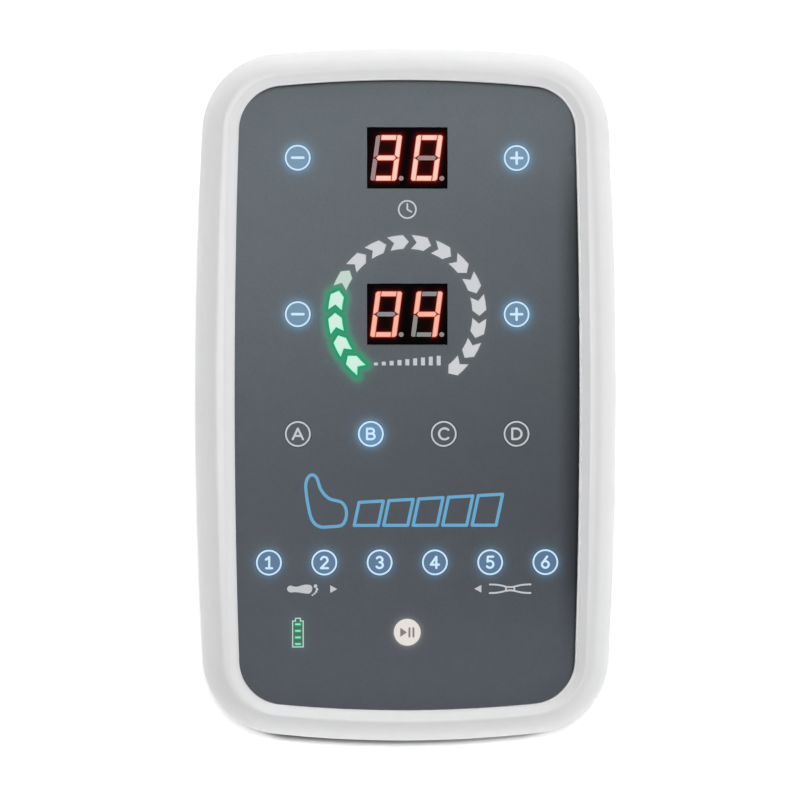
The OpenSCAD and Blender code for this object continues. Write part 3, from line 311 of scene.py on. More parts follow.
def turned(profile, centre, axis="z", steps=64):
    """Points and faces of a turned form. Each profile point (radius, height) becomes a ring: the
    radius times (cosine, sine) at that height. A radius of 0 at either end becomes a pole."""
    profile = np.asarray(profile, float)
    angle = np.linspace(0, 2 * math.pi, steps, endpoint=False)
    ring = np.stack((np.cos(angle), np.sin(angle)), axis=1)
    body = profile[1:-1] if profile[0, 0] == 0 and profile[-1, 0] == 0 else profile
    rings = np.empty((len(body), steps, 3))
    rings[..., :2] = body[:, None, :1] * ring
    rings[..., 2] = body[:, 1:]
    points, faces = skin(rings)
    if len(body) < len(profile):
        last = len(points) - steps
        poles = [[0, 0, profile[0, 1]], [0, 0, profile[-1, 1]]]
        i = np.arange(steps)
        k = (i + 1) % steps
        low = np.stack((np.full(steps, len(points)), k, i), axis=1)
        high = np.stack((np.full(steps, len(points) + 1), last + i, last + k), axis=1)
        faces = faces[:-2] + low.tolist() + high.tolist()
        points = np.concatenate((points, poles))
    turn = {"z": [0, 1, 2], "x": [2, 0, 1], "y": [1, 2, 0]}[axis]
    return points[:, turn] + np.asarray(centre), faces


def rod(radius, low, high, centre, axis="z", steps=64):
    """Points and faces of a round rod between two heights."""
    return turned([(radius, low), (radius, high)], centre, axis, steps)


def together(*parts):
    """Several sets of points and faces as one."""
    points, faces, start = [], [], 0
    for part_points, part_faces in parts:
        points.append(np.asarray(part_points))
        faces += [[start + i for i in face] for face in part_faces]
        start += len(part_points)
    return np.concatenate(points), faces


def anticlockwise(loop):
    """Whether a loop runs anticlockwise: its area, half the sum of x times the next y less y
    times the next x, is then above 0."""
    x, y = loop.T
    return (x * np.roll(y, -1) - y * np.roll(x, -1)).sum() > 0


def plate(solids, holes, top, thickness, samples=()):
    """Points and faces of a flat sheet. The triangulation tells which outlines each triangle lies
    in, so the sheet is what lies in a solid and in no hole. Its underside is the same, turned
    over, and a wall stands on each edge that only one triangle has."""
    loops = [loop if anticlockwise(loop) else loop[::-1] for loop in (*solids, *holes)]
    flat = np.concatenate([*loops, *samples])
    ends = np.cumsum([len(loop) for loop in loops])
    rims = [list(range(end - len(loop), end)) for loop, end in zip(loops, ends)]
    found = delaunay_2d_cdt([Vector(p) for p in flat], [], rims, 1, 1e-6, True)
    solid = [list(t) for t, owners in zip(found[2], found[5])
             if owners and min(owners) < len(solids) and max(owners) < len(solids)]
    tri = np.array(solid)
    used, tri = np.unique(tri, return_inverse=True)
    tri = tri.reshape(-1, 3)
    xy = np.array([found[0][i][:] for i in used])
    a, b, c = xy[tri[:, 0]], xy[tri[:, 1]], xy[tri[:, 2]]
    wrong = np.cross(b - a, c - a) < 0
    tri[wrong] = tri[wrong][:, ::-1]
    edges = np.concatenate((tri[:, [0, 1]], tri[:, [1, 2]], tri[:, [2, 0]]))
    key, back_key = edges[:, 0] * len(xy) + edges[:, 1], edges[:, 1] * len(xy) + edges[:, 0]
    rim = edges[~np.isin(key, back_key)]
    n = len(xy)
    walls = np.stack((rim[:, 1], rim[:, 0], rim[:, 0] + n, rim[:, 1] + n), axis=1)
    points = np.concatenate((np.c_[xy, np.full(n, top)], np.c_[xy, np.full(n, top - thickness)]))
    return points, tri.tolist() + (tri[:, ::-1] + n).tolist() + walls.tolist()


def circle(centre, radius, steps=48):
    return arc(centre, radius, 0, 2 * math.pi, steps + 1)[:-1]


def box_outline(centre, width, height):
    return np.asarray(centre) + np.array([[-1, -1], [1, -1], [1, 1], [-1, 1]]) * (width / 2, height / 2)


def carve(body, tool, operation):
    """Adds a tool's form to a body or takes it away, and keeps the result as the body's mesh."""
    tool_object = mesh_object("tool", *tool)
    modifier = body.modifiers.new("carve", "BOOLEAN")
    modifier.object, modifier.operation, modifier.solver = tool_object, operation, "EXACT"
    result = bpy.data.meshes.new_from_object(body.evaluated_get(bpy.context.evaluated_depsgraph_get()))
    body.modifiers.clear()
    body.data = result
    bpy.data.objects.remove(tool_object)
    return body


def place_piece(piece, material, body="casing", stands_for=()):
    """Gives a piece its material, the body that it rides on and the solids that it stands for."""
    piece.data.materials.clear()
    piece.data.materials.append(material)
    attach(piece, body)
    if stands_for:
        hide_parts(*stands_for)
    return piece


# %% [markdown]
# ## The levels of the panel
# The heights and the driving sizes of the solids, which the pieces below repeat.

# %% Levels and sizes
crest_z = cad_box[1].z / MM
FRONT_DEPTH, BACK_Z, WALL = 24, 3, 2.6
FILM_T, PLATE_T, FILM_GAP = 0.5, 2.5, 0.1
SLOPE_W, SLOPE_DROP, SHOULDER, SHOULDER_H = 3.4, 1.8, 7.2, 16
BACK_ROUND, BACK_DRAFT, CASE_H, SEAM_BEVEL = 12, 3, 97, 0.4
LIP_T, LIP_H, LIP_GAP, LIP_ROOT, LIP_TAPER = 1.7, 2.5, 0.15, 5, 3
seam_z = crest_z - FRONT_DEPTH
pocket_z = film_z - FILM_T
plate_z = pocket_z - PLATE_T
COLUMN_X, TIME_Y, PRESSURE_Y, MODE_Y, CHAMBER_Y, START_Y = 34.2, 74.2, 25.4, -12, -52.2, -74.1
CHAMBER_PITCH = 17.3
KEYS = {
    "time_down": (-COLUMN_X, TIME_Y), "time_up": (COLUMN_X, TIME_Y),
    "pressure_down": (-COLUMN_X, PRESSURE_Y), "pressure_up": (COLUMN_X, PRESSURE_Y),
    **{f"mode_{'abcd'[i]}": (COLUMN_X * (2 * i / 3 - 1), MODE_Y) for i in range(4)},
    **{f"chamber_{i}": (CHAMBER_PITCH * (i - 3.5), CHAMBER_Y) for i in range(1, 7)},
    "start": (0.0, START_Y)}
KEY_R, KEY_HOLE_R = 4.15, 4.25
DISPLAY_W, DISPLAY_L, DISPLAY_T, DISPLAY_SINK = 25, 19, 8, 0.15
display_z = film_z - DISPLAY_SINK
print("seam", seam_z, "film", round(film_z, 2), "crest", crest_z)

# %% [markdown]
# ## The ring of arrows and the battery mark
# Sixteen arrows follow each other round the pressure display, 18 degrees apart. Each has a body
# between two radii, a nose ahead of it and a notch behind. Their windows pierce both the film and
# the plate under it, so they are worked out before either of these.

# %% Windows of the gauge
ARROW_COUNT, ARROW_PITCH, ARROW_OUT, ARROW_IN = 16, 18, 24.8, 20.4
ARROW_BODY, ARROW_NOSE, ARROW_NOTCH, ARROW_SLANT = 5.8, 10.4, -1.65, 1.4
LIT_ARROWS = 4
MARK, MARK_CAP = (3.84, 8.64), (2.04, 0.84)


def arrow(number, inset=0.0):
    """One arrow, drawn in by a distance: points on three radii at angles round the gauge, in
    millimetres. Its nose points clockwise."""
    out_r, in_r, mid_r = ARROW_OUT - inset, ARROW_IN + inset, (ARROW_OUT + ARROW_IN) / 2
    s = math.degrees(inset / mid_r)
    middle = 90 + ARROW_PITCH * ((ARROW_COUNT - 1) / 2 - number)
    radius = np.array([out_r, out_r, out_r, mid_r, in_r, in_r, in_r, mid_r])
    ahead = np.array([s - ARROW_BODY, 0, ARROW_BODY - s / 2, ARROW_NOSE - ARROW_SLANT * s,
                      ARROW_BODY - s / 2, 0, s - ARROW_BODY, ARROW_NOTCH + ARROW_SLANT * s])
    angle = np.radians(middle - ahead)
    return np.c_[radius * np.cos(angle), radius * np.sin(angle) + PRESSURE_Y][::-1]


def battery_mark(inset=0.0):
    """The outline of the battery mark, drawn in by a distance: a cell with its narrower cap."""
    half, cap = MARK[0] / 2 - inset, MARK_CAP[0] / 2 - inset
    high = (MARK[1] + MARK_CAP[1]) / 2 - inset
    shoulder = high - MARK_CAP[1]
    return np.array([(-half, -high), (half, -high), (half, shoulder), (cap, shoulder), (cap, high),
                     (-cap, high), (-cap, shoulder), (-half, shoulder)]) + (-COLUMN_X, START_Y)


arrows = [arrow(i) for i in range(ARROW_COUNT)]
displays = {"time": (0.0, TIME_Y), "pressure": (0.0, PRESSURE_Y)}
display_room = (DISPLAY_W + 2 * FILM_GAP, DISPLAY_L + 2 * FILM_GAP)
windows = [*arrows, battery_mark(), *(box_outline(c, *display_room) for c in displays.values()),
           *(circle(c, KEY_HOLE_R) for c in KEYS.values())]
print("windows in the film:", len(windows))

# %% [markdown]
# ## The front cover
# One white moulding: a rounded shoulder, a crest, and a slope that falls to the film. It could
# be a box with bevels, but the curve of the shoulder is what the light shows, so its section is
# drawn as a curve, many steps fine, and carried round the outline. The section starts under the
# plate, runs down the inside, round the seam, up over the shoulder and down the slope. Beside
# the film it ends in a narrow level shelf, whose crisp edge draws a bright line round the film.
# The windows, the posts and the round recess of the power button are then carved.

# %% The front cover's section
SHOULDER_STEPS, SLOPE_STEPS, EDGE_STEPS = 26, 16, 5
INNER_TURN, SHELF_W, EDGE_R, SLOPE_EASE, COVER_SHARP = 5, 0.45, 0.12, 0.2, 28


def shoulder_in(z):
    """How far the shoulder lies in at a height: a quarter ellipse, 1 minus the root of 1 minus t
    squared, where t runs from 0 at its foot to 1 at the crest."""
    t = max(0.0, 1 - (crest_z - z) / SHOULDER_H)
    return SHOULDER * (1 - math.sqrt(1 - t * t))


def ring(form, inset, z):
    """The outline of a form, drawn in by a distance, at a height."""
    xy = outline(form, inset)
    return np.c_[xy, np.full(len(xy), z)]


def eased(t, ease):
    """A straight rise from 0 to 1 whose two ends are rounded over a share of its length: its
    slope grows evenly, stays, and falls evenly again."""
    start, finish = np.minimum(t, ease), np.maximum(t - 1 + ease, 0)
    return ((start ** 2 - finish ** 2) / (2 * ease) + np.maximum(t - ease, 0)) / (1 - ease)


def front_section():
    """The rings of the front cover, each an outline drawn in by a distance at a height."""
    low = plate_z - INNER_TURN
    outer = [(shoulder_in(plate_z) + WALL, plate_z), (shoulder_in(low) + WALL, low), (WALL, seam_z),
             (SEAM_BEVEL, seam_z), (0, seam_z + SEAM_BEVEL),
             *((SHOULDER * (1 - math.cos(a)), crest_z - SHOULDER_H * (1 - math.sin(a)))
               for a in np.linspace(0, math.pi / 2, SHOULDER_STEPS))]
    shelf_z, shelf_end = crest_z - SLOPE_DROP, FILM_GAP + SHELF_W
    inner = [*((-SLOPE_W + (SLOPE_W - shelf_end) * t, crest_z - SLOPE_DROP * eased(t, SLOPE_EASE))
               for t in np.linspace(0, 1, SLOPE_STEPS)),
             *((-FILM_GAP - EDGE_R * (1 - math.cos(a)), shelf_z - EDGE_R * (1 - math.sin(a)))
               for a in np.linspace(math.pi / 2, 0, EDGE_STEPS)), (-FILM_GAP, pocket_z)]
    return [ring(CASING, *step) for step in outer] + [ring(PANEL, *step) for step in inner]


POWER_Y, POWER_DROP, POWER_R, RECESS_R, RECESS_T, COLLAR_L = 71.7, 12.5, 4.65, 5.75, 1.8, 5
KEY_GAP, COLLAR_WALL = 0.1, 2.2
power_z = crest_z - POWER_DROP
side_x = (CASING["width"] / 2 - CASING["side_r"] + math.sqrt(CASING["side_r"] ** 2 - POWER_Y ** 2)
          - shoulder_in(power_z))
recess_x = side_x - RECESS_T
collar_x = recess_x - COLLAR_L
board_z = display_z - DISPLAY_T
POST_R, CORNER_POST_R, SCREW_X, SCREW_Y = 3.5, 4.5, 46, 88
posts = [(s * 44, y) for y in (52, -32) for s in (-1, 1)] + [(0, 58), (0, -33)]
corners = [(sx * SCREW_X, sy * SCREW_Y) for sx in (-1, 1) for sy in (-1, 1)]

front = mesh_object("front_frame", *skin(front_section()))
carve(front, together(
    *(rod(POST_R, board_z, plate_z + 1, (x, y, 0), steps=32) for x, y in posts),
    *(rod(CORNER_POST_R, seam_z - 1.8, plate_z + 1, (x, y, 0), steps=32) for x, y in corners),
    rod(POWER_R + COLLAR_WALL, 0, COLLAR_L + 0.4, (collar_x, POWER_Y, power_z), "x")), "UNION")
carve(front, together(
    plate(windows, [], pocket_z + 0.2, PLATE_T + 1.2),
    turned([(POWER_R + KEY_GAP, -1), (POWER_R + KEY_GAP, COLLAR_L), (RECESS_R, COLLAR_L),
            (RECESS_R, COLLAR_L + WALL + 1)], (collar_x, POWER_Y, power_z), "x")), "DIFFERENCE")
smooth_shade(front.data, COVER_SHARP)
white_abs = plastic("moulded_white_ABS", "#EDEDEE", 0.36, 0.35, 0.003, tone=0.008)
place_piece(front, white_abs, stands_for=["front_cover"])
print("front cover:", len(front.data.polygons), "faces")

# %% [markdown]
# ## The rear cover
# A deep tub that narrows a little towards the back, so that it leaves its mould, with a rounded
# edge where it turns under. It is made as the front cover is. Carved out of it are the two air
# socket openings, the power inlet, the wells of the four long screws, the pockets of the feet,
# the intake slots and a shallow bare recess where such a unit has its rating plate.

# %% The rear cover
ROUND_STEPS = 14
SOCKET_X, SOCKET_Z, SOCKET_W, SOCKET_H, SOCKET_SINK, SOCKET_L = 20, 42, 34, 26, 5.5, 10
SOCKET_FRAME, SOCKET_FLANGE = 3, 2
JACK_RISE, JACK_NOSE_R = 21, 4.6
WELL_R, WELL_WALL, FOOT_R, FOOT_POCKET, FOOT_X, FOOT_Y = 3.5, 2.2, 7, 1.2, 38, 70
PLATE_RECESS, PLATE_RECESS_Y = (60, 34, 0.4), 15
VENT, VENT_PITCH, VENT_COUNT, PUMP_X = (2.2, 26), 4.5, 7, 27


def draft_in(z):
    """How far the rear cover lies in at a height: in proportion to the distance from the seam."""
    return BACK_DRAFT * (seam_z - z) / CASE_H


def rear_section():
    """The rings of the rear cover: a quarter round up from the back, the wall, the lip that the
    front cover slides over, and the same way back down on the inside."""
    turn = BACK_Z + BACK_ROUND
    inner_z = seam_z - LIP_ROOT - LIP_TAPER
    base, r_in, lip = draft_in(turn), BACK_ROUND - WALL, WALL + LIP_GAP
    steps = [*((base + BACK_ROUND * (1 - math.cos(a)), turn - BACK_ROUND * math.sin(a))
               for a in np.linspace(math.pi / 2, 0, ROUND_STEPS)),
             (draft_in(seam_z - SEAM_BEVEL), seam_z - SEAM_BEVEL), (SEAM_BEVEL, seam_z),
             (lip, seam_z), (lip, seam_z + LIP_H), (lip + LIP_T, seam_z + LIP_H),
             (lip + LIP_T, seam_z - LIP_ROOT), (lip + draft_in(inner_z), inner_z),
             *((base + BACK_ROUND - r_in * math.cos(a), turn - r_in * math.sin(a))
               for a in np.linspace(0, math.pi / 2, ROUND_STEPS))]
    return [ring(CASING, *step) for step in steps]


def prism(shape, low, high):
    """Points and faces of an upright prism on an anticlockwise outline, between two heights."""
    return skin([np.c_[shape, np.full(len(shape), z)] for z in (low, high)])


def block(low, high):
    """Points and faces of a block between two corners."""
    low, high = np.asarray(low, float), np.asarray(high, float)
    return prism(box_outline((low + high)[:2] / 2, *(high - low)[:2]), low[2], high[2])


top_y = (CASING["length"] / 2 - CASING["top_r"] + math.sqrt(CASING["top_r"] ** 2 - SOCKET_X ** 2)
         - draft_in(SOCKET_Z))
socket_y = top_y - SOCKET_SINK
jack_z = BACK_Z + JACK_RISE
jack_y = -(CASING["length"] / 2 - draft_in(jack_z)) + 0.5
well_top = seam_z - 14
vent_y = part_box("motor_can")[1].y / MM - 4


def surround():
    """The thick frame behind the top wall, round both sockets. Its outer side runs along the
    wall: an arc about the centre of the casing's end, with its radius less the wall's middle."""
    half, h = SOCKET_X + SOCKET_W / 2 + SOCKET_FRAME, SOCKET_H / 2 + SOCKET_FRAME
    x = np.linspace(half, -half, 25)
    end_r = CASING["top_r"] - draft_in(SOCKET_Z - h) - WALL / 2
    y = CASING["length"] / 2 - CASING["top_r"] + np.sqrt(end_r ** 2 - x * x)
    inner_y = socket_y - SOCKET_L + SOCKET_FLANGE
    shape = np.concatenate((np.c_[x, y], [(-half, inner_y), (half, inner_y)]))
    return prism(shape, SOCKET_Z - h, SOCKET_Z + h)


feet = [(sx * FOOT_X, sy * FOOT_Y) for sx in (-1, 1) for sy in (-1, 1)]
rear = mesh_object("rear_shell", *skin(rear_section()))
carve(rear, together(
    *(rod(WELL_R + WELL_WALL, BACK_Z + WALL / 2, seam_z - 2, (x, y, 0)) for x, y in corners),
    surround(),
    rod(JACK_NOSE_R + WELL_WALL, WALL / 2, WALL + 4, (0, jack_y, jack_z), "y")), "UNION")
carve(rear, together(
    *(turned([(WELL_R + 0.4, BACK_Z - 1), (WELL_R + 0.4, BACK_Z), (WELL_R, BACK_Z + 0.4),
              (WELL_R, well_top)], (x, y, 0)) for x, y in corners),
    *(rod(FOOT_R + FILM_GAP, BACK_Z - 1, BACK_Z + FOOT_POCKET, (x, y, 0)) for x, y in feet),
    *(block((s * SOCKET_X - SOCKET_W / 2, socket_y - SOCKET_L - 1, SOCKET_Z - SOCKET_H / 2),
            (s * SOCKET_X + SOCKET_W / 2, top_y + 5, SOCKET_Z + SOCKET_H / 2)) for s in (-1, 1)),
    rod(JACK_NOSE_R + FILM_GAP, -2, 12, (0, jack_y, jack_z), "y"),
    block((-PLATE_RECESS[0] / 2, PLATE_RECESS_Y - PLATE_RECESS[1] / 2, BACK_Z - 1),
          (PLATE_RECESS[0] / 2, PLATE_RECESS_Y + PLATE_RECESS[1] / 2, BACK_Z + PLATE_RECESS[2])),
    *(block((x - VENT[0] / 2, vent_y - VENT[1] / 2, BACK_Z - 1),
            (x + VENT[0] / 2, vent_y + VENT[1] / 2, BACK_Z + WALL + 1))
      for x in -PUMP_X + VENT_PITCH * (np.arange(VENT_COUNT) - (VENT_COUNT - 1) / 2))), "DIFFERENCE")
smooth_shade(rear.data, COVER_SHARP)
place_piece(rear, white_abs, stands_for=["rear_cover"])
print("rear cover:", len(rear.data.polygons), "faces")

# %% [markdown]
# ## Glow
# The lit keys, arrows and digits shine a little into the film and the display faces around
# them. Lamps under a real diffusing film would do this too, but so small a glow would need very
# many samples to render without grain. The light that each point of the sheet gives off is
# worked out from its distance to the lit shape instead, and kept in a colour attribute that the
# material reads. Its fourth channel says how far the light hides the sheet's own colour.

# %% Glow helpers
KEEP_OFF = 0.1


def distance(points, shape):
    """Distance from each point to a shape's nearest edge: to the foot on the edge's line, kept
    between the edge's two ends."""
    edge = np.roll(shape, -1, axis=0) - shape
    away = points[:, None] - shape
    along = np.clip((away * edge).sum(-1) / (edge * edge).sum(-1), 0, 1)
    return np.linalg.norm(away - along[..., None] * edge, axis=-1).min(axis=1)


def nearest(points, shapes):
    """Distance from each point to the nearest of several shapes."""
    return np.min([distance(points, shape) for shape in shapes], axis=0)


def fade(amount, reach):
    """How much light is left at a distance: it falls to a third for each reach."""
    return np.exp(-np.maximum(amount, 0) / reach)


def lattice(low, high, spacing):
    """Points of a square lattice between two corners, every other row moved by half a step."""
    x, y = np.meshgrid(np.arange(low[0], high[0], spacing), np.arange(low[1], high[1], spacing))
    x = x + (np.arange(len(x)) % 2)[:, None] * spacing / 2
    return np.c_[x.ravel(), y.ravel()]


def near(shapes, reach, spacing):
    """Lattice points that lie outside some shapes but within reach of one of them."""
    found = []
    for shape in shapes:
        points = lattice(shape.min(0) - reach, shape.max(0) + reach, spacing)
        gap = distance(points, shape)
        found.append(points[(gap > KEEP_OFF) & (gap < reach)])
    points = np.concatenate(found)
    gaps = nearest(points, shapes)
    cell = np.round(points / (spacing * 0.9)).astype(int)
    first = np.unique(cell, axis=0, return_index=True)[1]
    return points[first][gaps[first] > KEEP_OFF]


def set_glow(piece, colour, hidden):
    """Writes the light that each vertex gives off, and how far it hides the surface's colour."""
    attribute = piece.data.color_attributes.new("glow", "FLOAT_COLOR", "POINT")
    attribute.data.foreach_set("color", np.c_[colour, hidden].astype(np.float32).ravel())


def light_evenly(piece, light, hidden=1.0):
    """Gives every vertex of a piece the same light."""
    count = len(piece.data.vertices)
    set_glow(piece, np.tile(light, (count, 1)), np.full(count, hidden))


def flat_points(piece):
    """The x and y of a piece's vertices, in millimetres."""
    co = np.empty(len(piece.data.vertices) * 3, np.float32)
    piece.data.vertices.foreach_get("co", co)
    return co.reshape(-1, 3)[:, :2].astype(float) / MM


# %% [markdown]
# ## The film
# A printed polycarbonate film with a fine velvet texture, dark grey, lies in the frame. Its colour
# is painted a little lighter towards the top end, as light from above would make it, and painted
# darker towards the right. It has a hole over each key, arrow and display. A texture as fine as
# the real one, a tenth of a millimetre, would vanish between the picture's points, so its grain
# is drawn about three times as coarse.

# %% The film's material
PAINTED_LIGHT_LOW, PAINTED_LIGHT_TOP = -40, 70
FILM_GRAIN, FILM_CLOUD, FILM_GLOSS = (0.55, 0.93, 1.07), (7.0, 0.975, 1.025), (1.2, 0.46, 0.54)
TOOTH, TOOTH_DEPTH = 0.3, 0.006
MARGIN_START, MARGIN_FADE, MARGIN_END, MARGIN_DEPTH, MARGIN_LEAN = 46, 50, 90, 0.50, 0.2


def velvet_film(name, lit_top_colour, shaded_low_colour):
    """Polycarbonate film: a painted gradient of light along the panel, painted shade towards the
    right, grain, and the glow of what shines in it.
    """
    material, tree, place = new_material(name)
    across, along = add(tree, "SeparateXYZ", {"Vector": place}).outputs[:2]
    share = s_curve(tree, along, PAINTED_LIGHT_LOW * MM, PAINTED_LIGHT_TOP * MM)
    # Painted shade: the film is darker towards the right, most in a soft margin beside the frame on
    #     # the right, which keeps some of the light off it. The shade fades out towards both ends.
    half = PANEL["width"] / 2 * MM
    lean = add(tree, "MapRange", {"Value": across, "From Min": -half, "From Max": half,
                                            "To Max": MARGIN_LEAN}).outputs["Result"]
    margin = s_curve(tree, across, MARGIN_START * MM, half, 0.0, MARGIN_DEPTH)
    end = s_curve(tree, maths(tree, "ABSOLUTE", along), MARGIN_FADE * MM, MARGIN_END * MM, 1.0, 0.0)
    painted_shade = maths(tree, "SUBTRACT", 1.0,
                    maths(tree, "MULTIPLY", maths(tree, "ADD", margin, lean), end))
    # Painted light: the colour runs from the lower one to the lighter one towards the top end.
    tone = add(tree, "Mix", {"Factor": share, "A": rgba(shaded_low_colour), "B": rgba(lit_top_colour)},
               data_type="RGBA").outputs["Result"]
    grain = speckle(tree, place, *FILM_GRAIN, detail=3.0)
    cloud = speckle(tree, place, *FILM_CLOUD)
    light, open_share = vertex_light(tree)
    colour = tone
    for factor in (grain, cloud, painted_shade, open_share):
        colour = shaded(tree, colour, factor)
    return finished(material, tree, {
        "Base Color": colour, "Roughness": speckle(tree, place, *FILM_GLOSS), "IOR": 1.58,
        "Specular IOR Level": 0.06, "Emission Color": light, "Emission Strength": 1.0,
        "Normal": bumped(tree, speckle(tree, place, TOOTH, 0, 1), TOOTH_DEPTH)})


# %% The film's sheet and its glow
LIT_KEYS = [n for n in KEYS if n.startswith(("time", "pressure", "chamber"))] + ["mode_b"]
PRINT_R = 4.03
LIP_SHADE, LIP_START, LIP_FADE, LIP_FROM, LIP_RISE = 0.75, 0.35, 0.4, 0.93, 0.05
GREEN_LIGHT, GREEN_REACH, COVER_REACH, CHAMBER_SHARE = (0.003, 0.305, 0.138), 1.8, 1.3, 0.62
HALOS = {  # the reach in millimetres, then the linear red, green and blue at the lit edge
    "start": (0.75, (0.125, 0.115, 0.108)), "key": (0.95, (0.045, 0.150, 0.255)),
    "next_arrow": (0.7, (0.012, 0.045, 0.028)), "dim_arrows": (0.6, (0.028, 0.028, 0.028)),
    "battery": (1.0, (0.004, 0.028, 0.016)), "levels": (0.5, (0.004, 0.21, 0.10))}
halo_radii = [4.4, 4.6, 4.85, 5.15, 5.55, 6.1, 6.9]
border_rings = [outline(PANEL, inset) for inset in (0.3, 0.6, 1.0, 1.6)]
lit_arrows, next_arrow, dim_arrows = arrows[:LIT_ARROWS], arrows[LIT_ARROWS], arrows[LIT_ARROWS + 1:]
display_rooms = [box_outline(c, DISPLAY_W + 1, DISPLAY_L + 1) for c in displays.values()]


def clear_of_windows(points):
    """The points that lie outside every key hole and display window, with a little to spare."""
    keep = np.ones(len(points), bool)
    for centre in KEYS.values():
        keep &= np.linalg.norm(points - centre, axis=1) > KEY_HOLE_R + 0.08
    for room in display_rooms:
        keep &= ((points < room.min(0)) | (points > room.max(0))).any(axis=1)
    return points[keep]


def halo(gap, name):
    """The light that a lit piece throws on the sheet round it, at a distance from its edge."""
    reach, light = HALOS[name]
    return fade(gap, reach)[:, None] * light


def film_glow(points):
    """The light of the film at each point: rings of blue round lit keys, deep green that fades
    like a bell curve round lit arrows, and a breath of painted white light round the unlit ones.
    Along the top and the right, where the frame's lip stands between film and light, the film is
    painted darker."""
    light = np.zeros((len(points), 3))
    hidden = np.zeros(len(points))
    for name, centre in KEYS.items():
        gap = np.linalg.norm(points - centre, axis=1) - PRINT_R
        if name == "start":
            light += halo(gap, "start")
        elif name in LIT_KEYS:
            light += (CHAMBER_SHARE if name.startswith("chamber") else 1.0) * halo(gap, "key")
    gap = nearest(points, lit_arrows)
    light += np.exp(-(gap / GREEN_REACH) ** 2)[:, None] * GREEN_LIGHT
    hidden += np.exp(-(gap / COVER_REACH) ** 2)
    light += halo(distance(points, next_arrow), "next_arrow")
    # Painted light: a faint white round the unlit arrows.
    light += halo(nearest(points, dim_arrows), "dim_arrows")
    light += halo(distance(points, battery_mark()), "battery")
    reach = (points / half_panel).max(axis=1)
    lip_gap = distance(points, outline(PANEL)) - LIP_START
    under_lip = np.clip((reach - LIP_FROM) / LIP_RISE, 0, 1) * fade(lip_gap, LIP_FADE)
    return light, np.minimum(hidden + LIP_SHADE * under_lip, 1)


half_panel = np.array([PANEL["width"], PANEL["length"]]) / 2
film_samples = clear_of_windows(np.concatenate([
    near(lit_arrows, 3.2, 0.3), near([*dim_arrows, next_arrow], 1.6, 0.55),
    near([battery_mark()], 3.0, 0.45), lattice((-52, -95), (52, 95), 4.0)]))
film_samples = film_samples[nearest(film_samples, arrows) > KEEP_OFF]
key_rings = [circle(c, r, 40) for c in KEYS.values() for r in halo_radii]
film_samples = film_samples[(np.abs(film_samples) < half_panel - 3).all(axis=1)]
film = mesh_object("control_film", *plate([outline(PANEL)], windows, film_z, FILM_T,
                                          [film_samples, *key_rings, *border_rings]))
set_glow(film, *film_glow(flat_points(film)))
# The lighter colour at the top end is painted light from above.
film_material = velvet_film("velvet_polycarbonate_film", "#71797E", "#5F646B")
place_piece(film, film_material, stands_for=["panel_film"])
print("film:", len(film.data.polygons), "faces")

# %% [markdown]
# ## Print
# Everything printed, on the film and on the keys, is a thin layer of ink that stands two
# hundredths of a millimetre proud. A line of print is a row of short round-ended strokes, and
# the plate maker joins them where they cross, so a sign is only a list of lines and arcs.

# %% Strokes and signs
INK_T = 0.02


def ink(shapes, holes=()):
    """Points and faces of a layer of ink, or of a thin lit mark, that stands proud of the film."""
    return plate(shapes, holes, film_z + INK_T, INK_T)


def capsule(a, b, width):
    """A straight stroke with round ends: a half circle round each end."""
    a, b = np.asarray(a, float), np.asarray(b, float)
    lie = math.atan2(*(b - a)[::-1])
    return np.concatenate((arc(b, width / 2, lie - math.pi / 2, lie + math.pi / 2, 8),
                           arc(a, width / 2, lie + math.pi / 2, lie + 1.5 * math.pi, 8)))


def ribbon(line, width):
    """A curved stroke: the line moved half a width to either side, square to its direction. It is
    made in two halves, so that a closed line isn't one outline that touches itself."""
    way = np.gradient(line, axis=0)
    way /= np.linalg.norm(way, axis=1)[:, None]
    aside = np.c_[-way[:, 1], way[:, 0]] * width / 2
    half = len(line) // 2
    return [*(np.concatenate(((line - aside)[part], (line + aside)[part][::-1]))
              for part in (slice(None, half + 1), slice(half, None))),
            circle(line[0], width / 2, 14), circle(line[-1], width / 2, 14)]


def sweep(centre, rx, ry, start, end, steps=20):
    """Points of an oval arc, with its angles in degrees."""
    a = np.radians(np.linspace(start, end, steps))
    return np.asarray(centre) + np.c_[rx * np.cos(a), ry * np.sin(a)]


def closed_curve(points, steps=8):
    """A closed curve through points. Between two of them runs the cubic whose slope at a point is
    half the way from the point before it to the point after it."""
    p = np.asarray(points, float)
    before, after, later = np.roll(p, 1, 0), np.roll(p, -1, 0), np.roll(p, -2, 0)
    t = np.linspace(0, 1, steps, endpoint=False)[:, None, None]
    curve = (p + t * (after - before) / 2 + t ** 2 * (before - 2.5 * p + 2 * after - later / 2)
             + t ** 3 * (3 * p - before - 3 * after + later) / 2)
    return curve.transpose(1, 0, 2).reshape(-1, 2)


def strokes(lines, width, at=(0, 0)):
    """The outlines of a sign: capsules for a line of straight legs, a ribbon for one that is
    given as a curve, with eight points or more."""
    shapes = []
    for line in lines:
        line = np.asarray(line, float) + at
        if len(line) > 7:
            shapes += ribbon(line, width)
        else:
            shapes += [capsule(a, b, width) for a, b in zip(line, line[1:])]
    return shapes


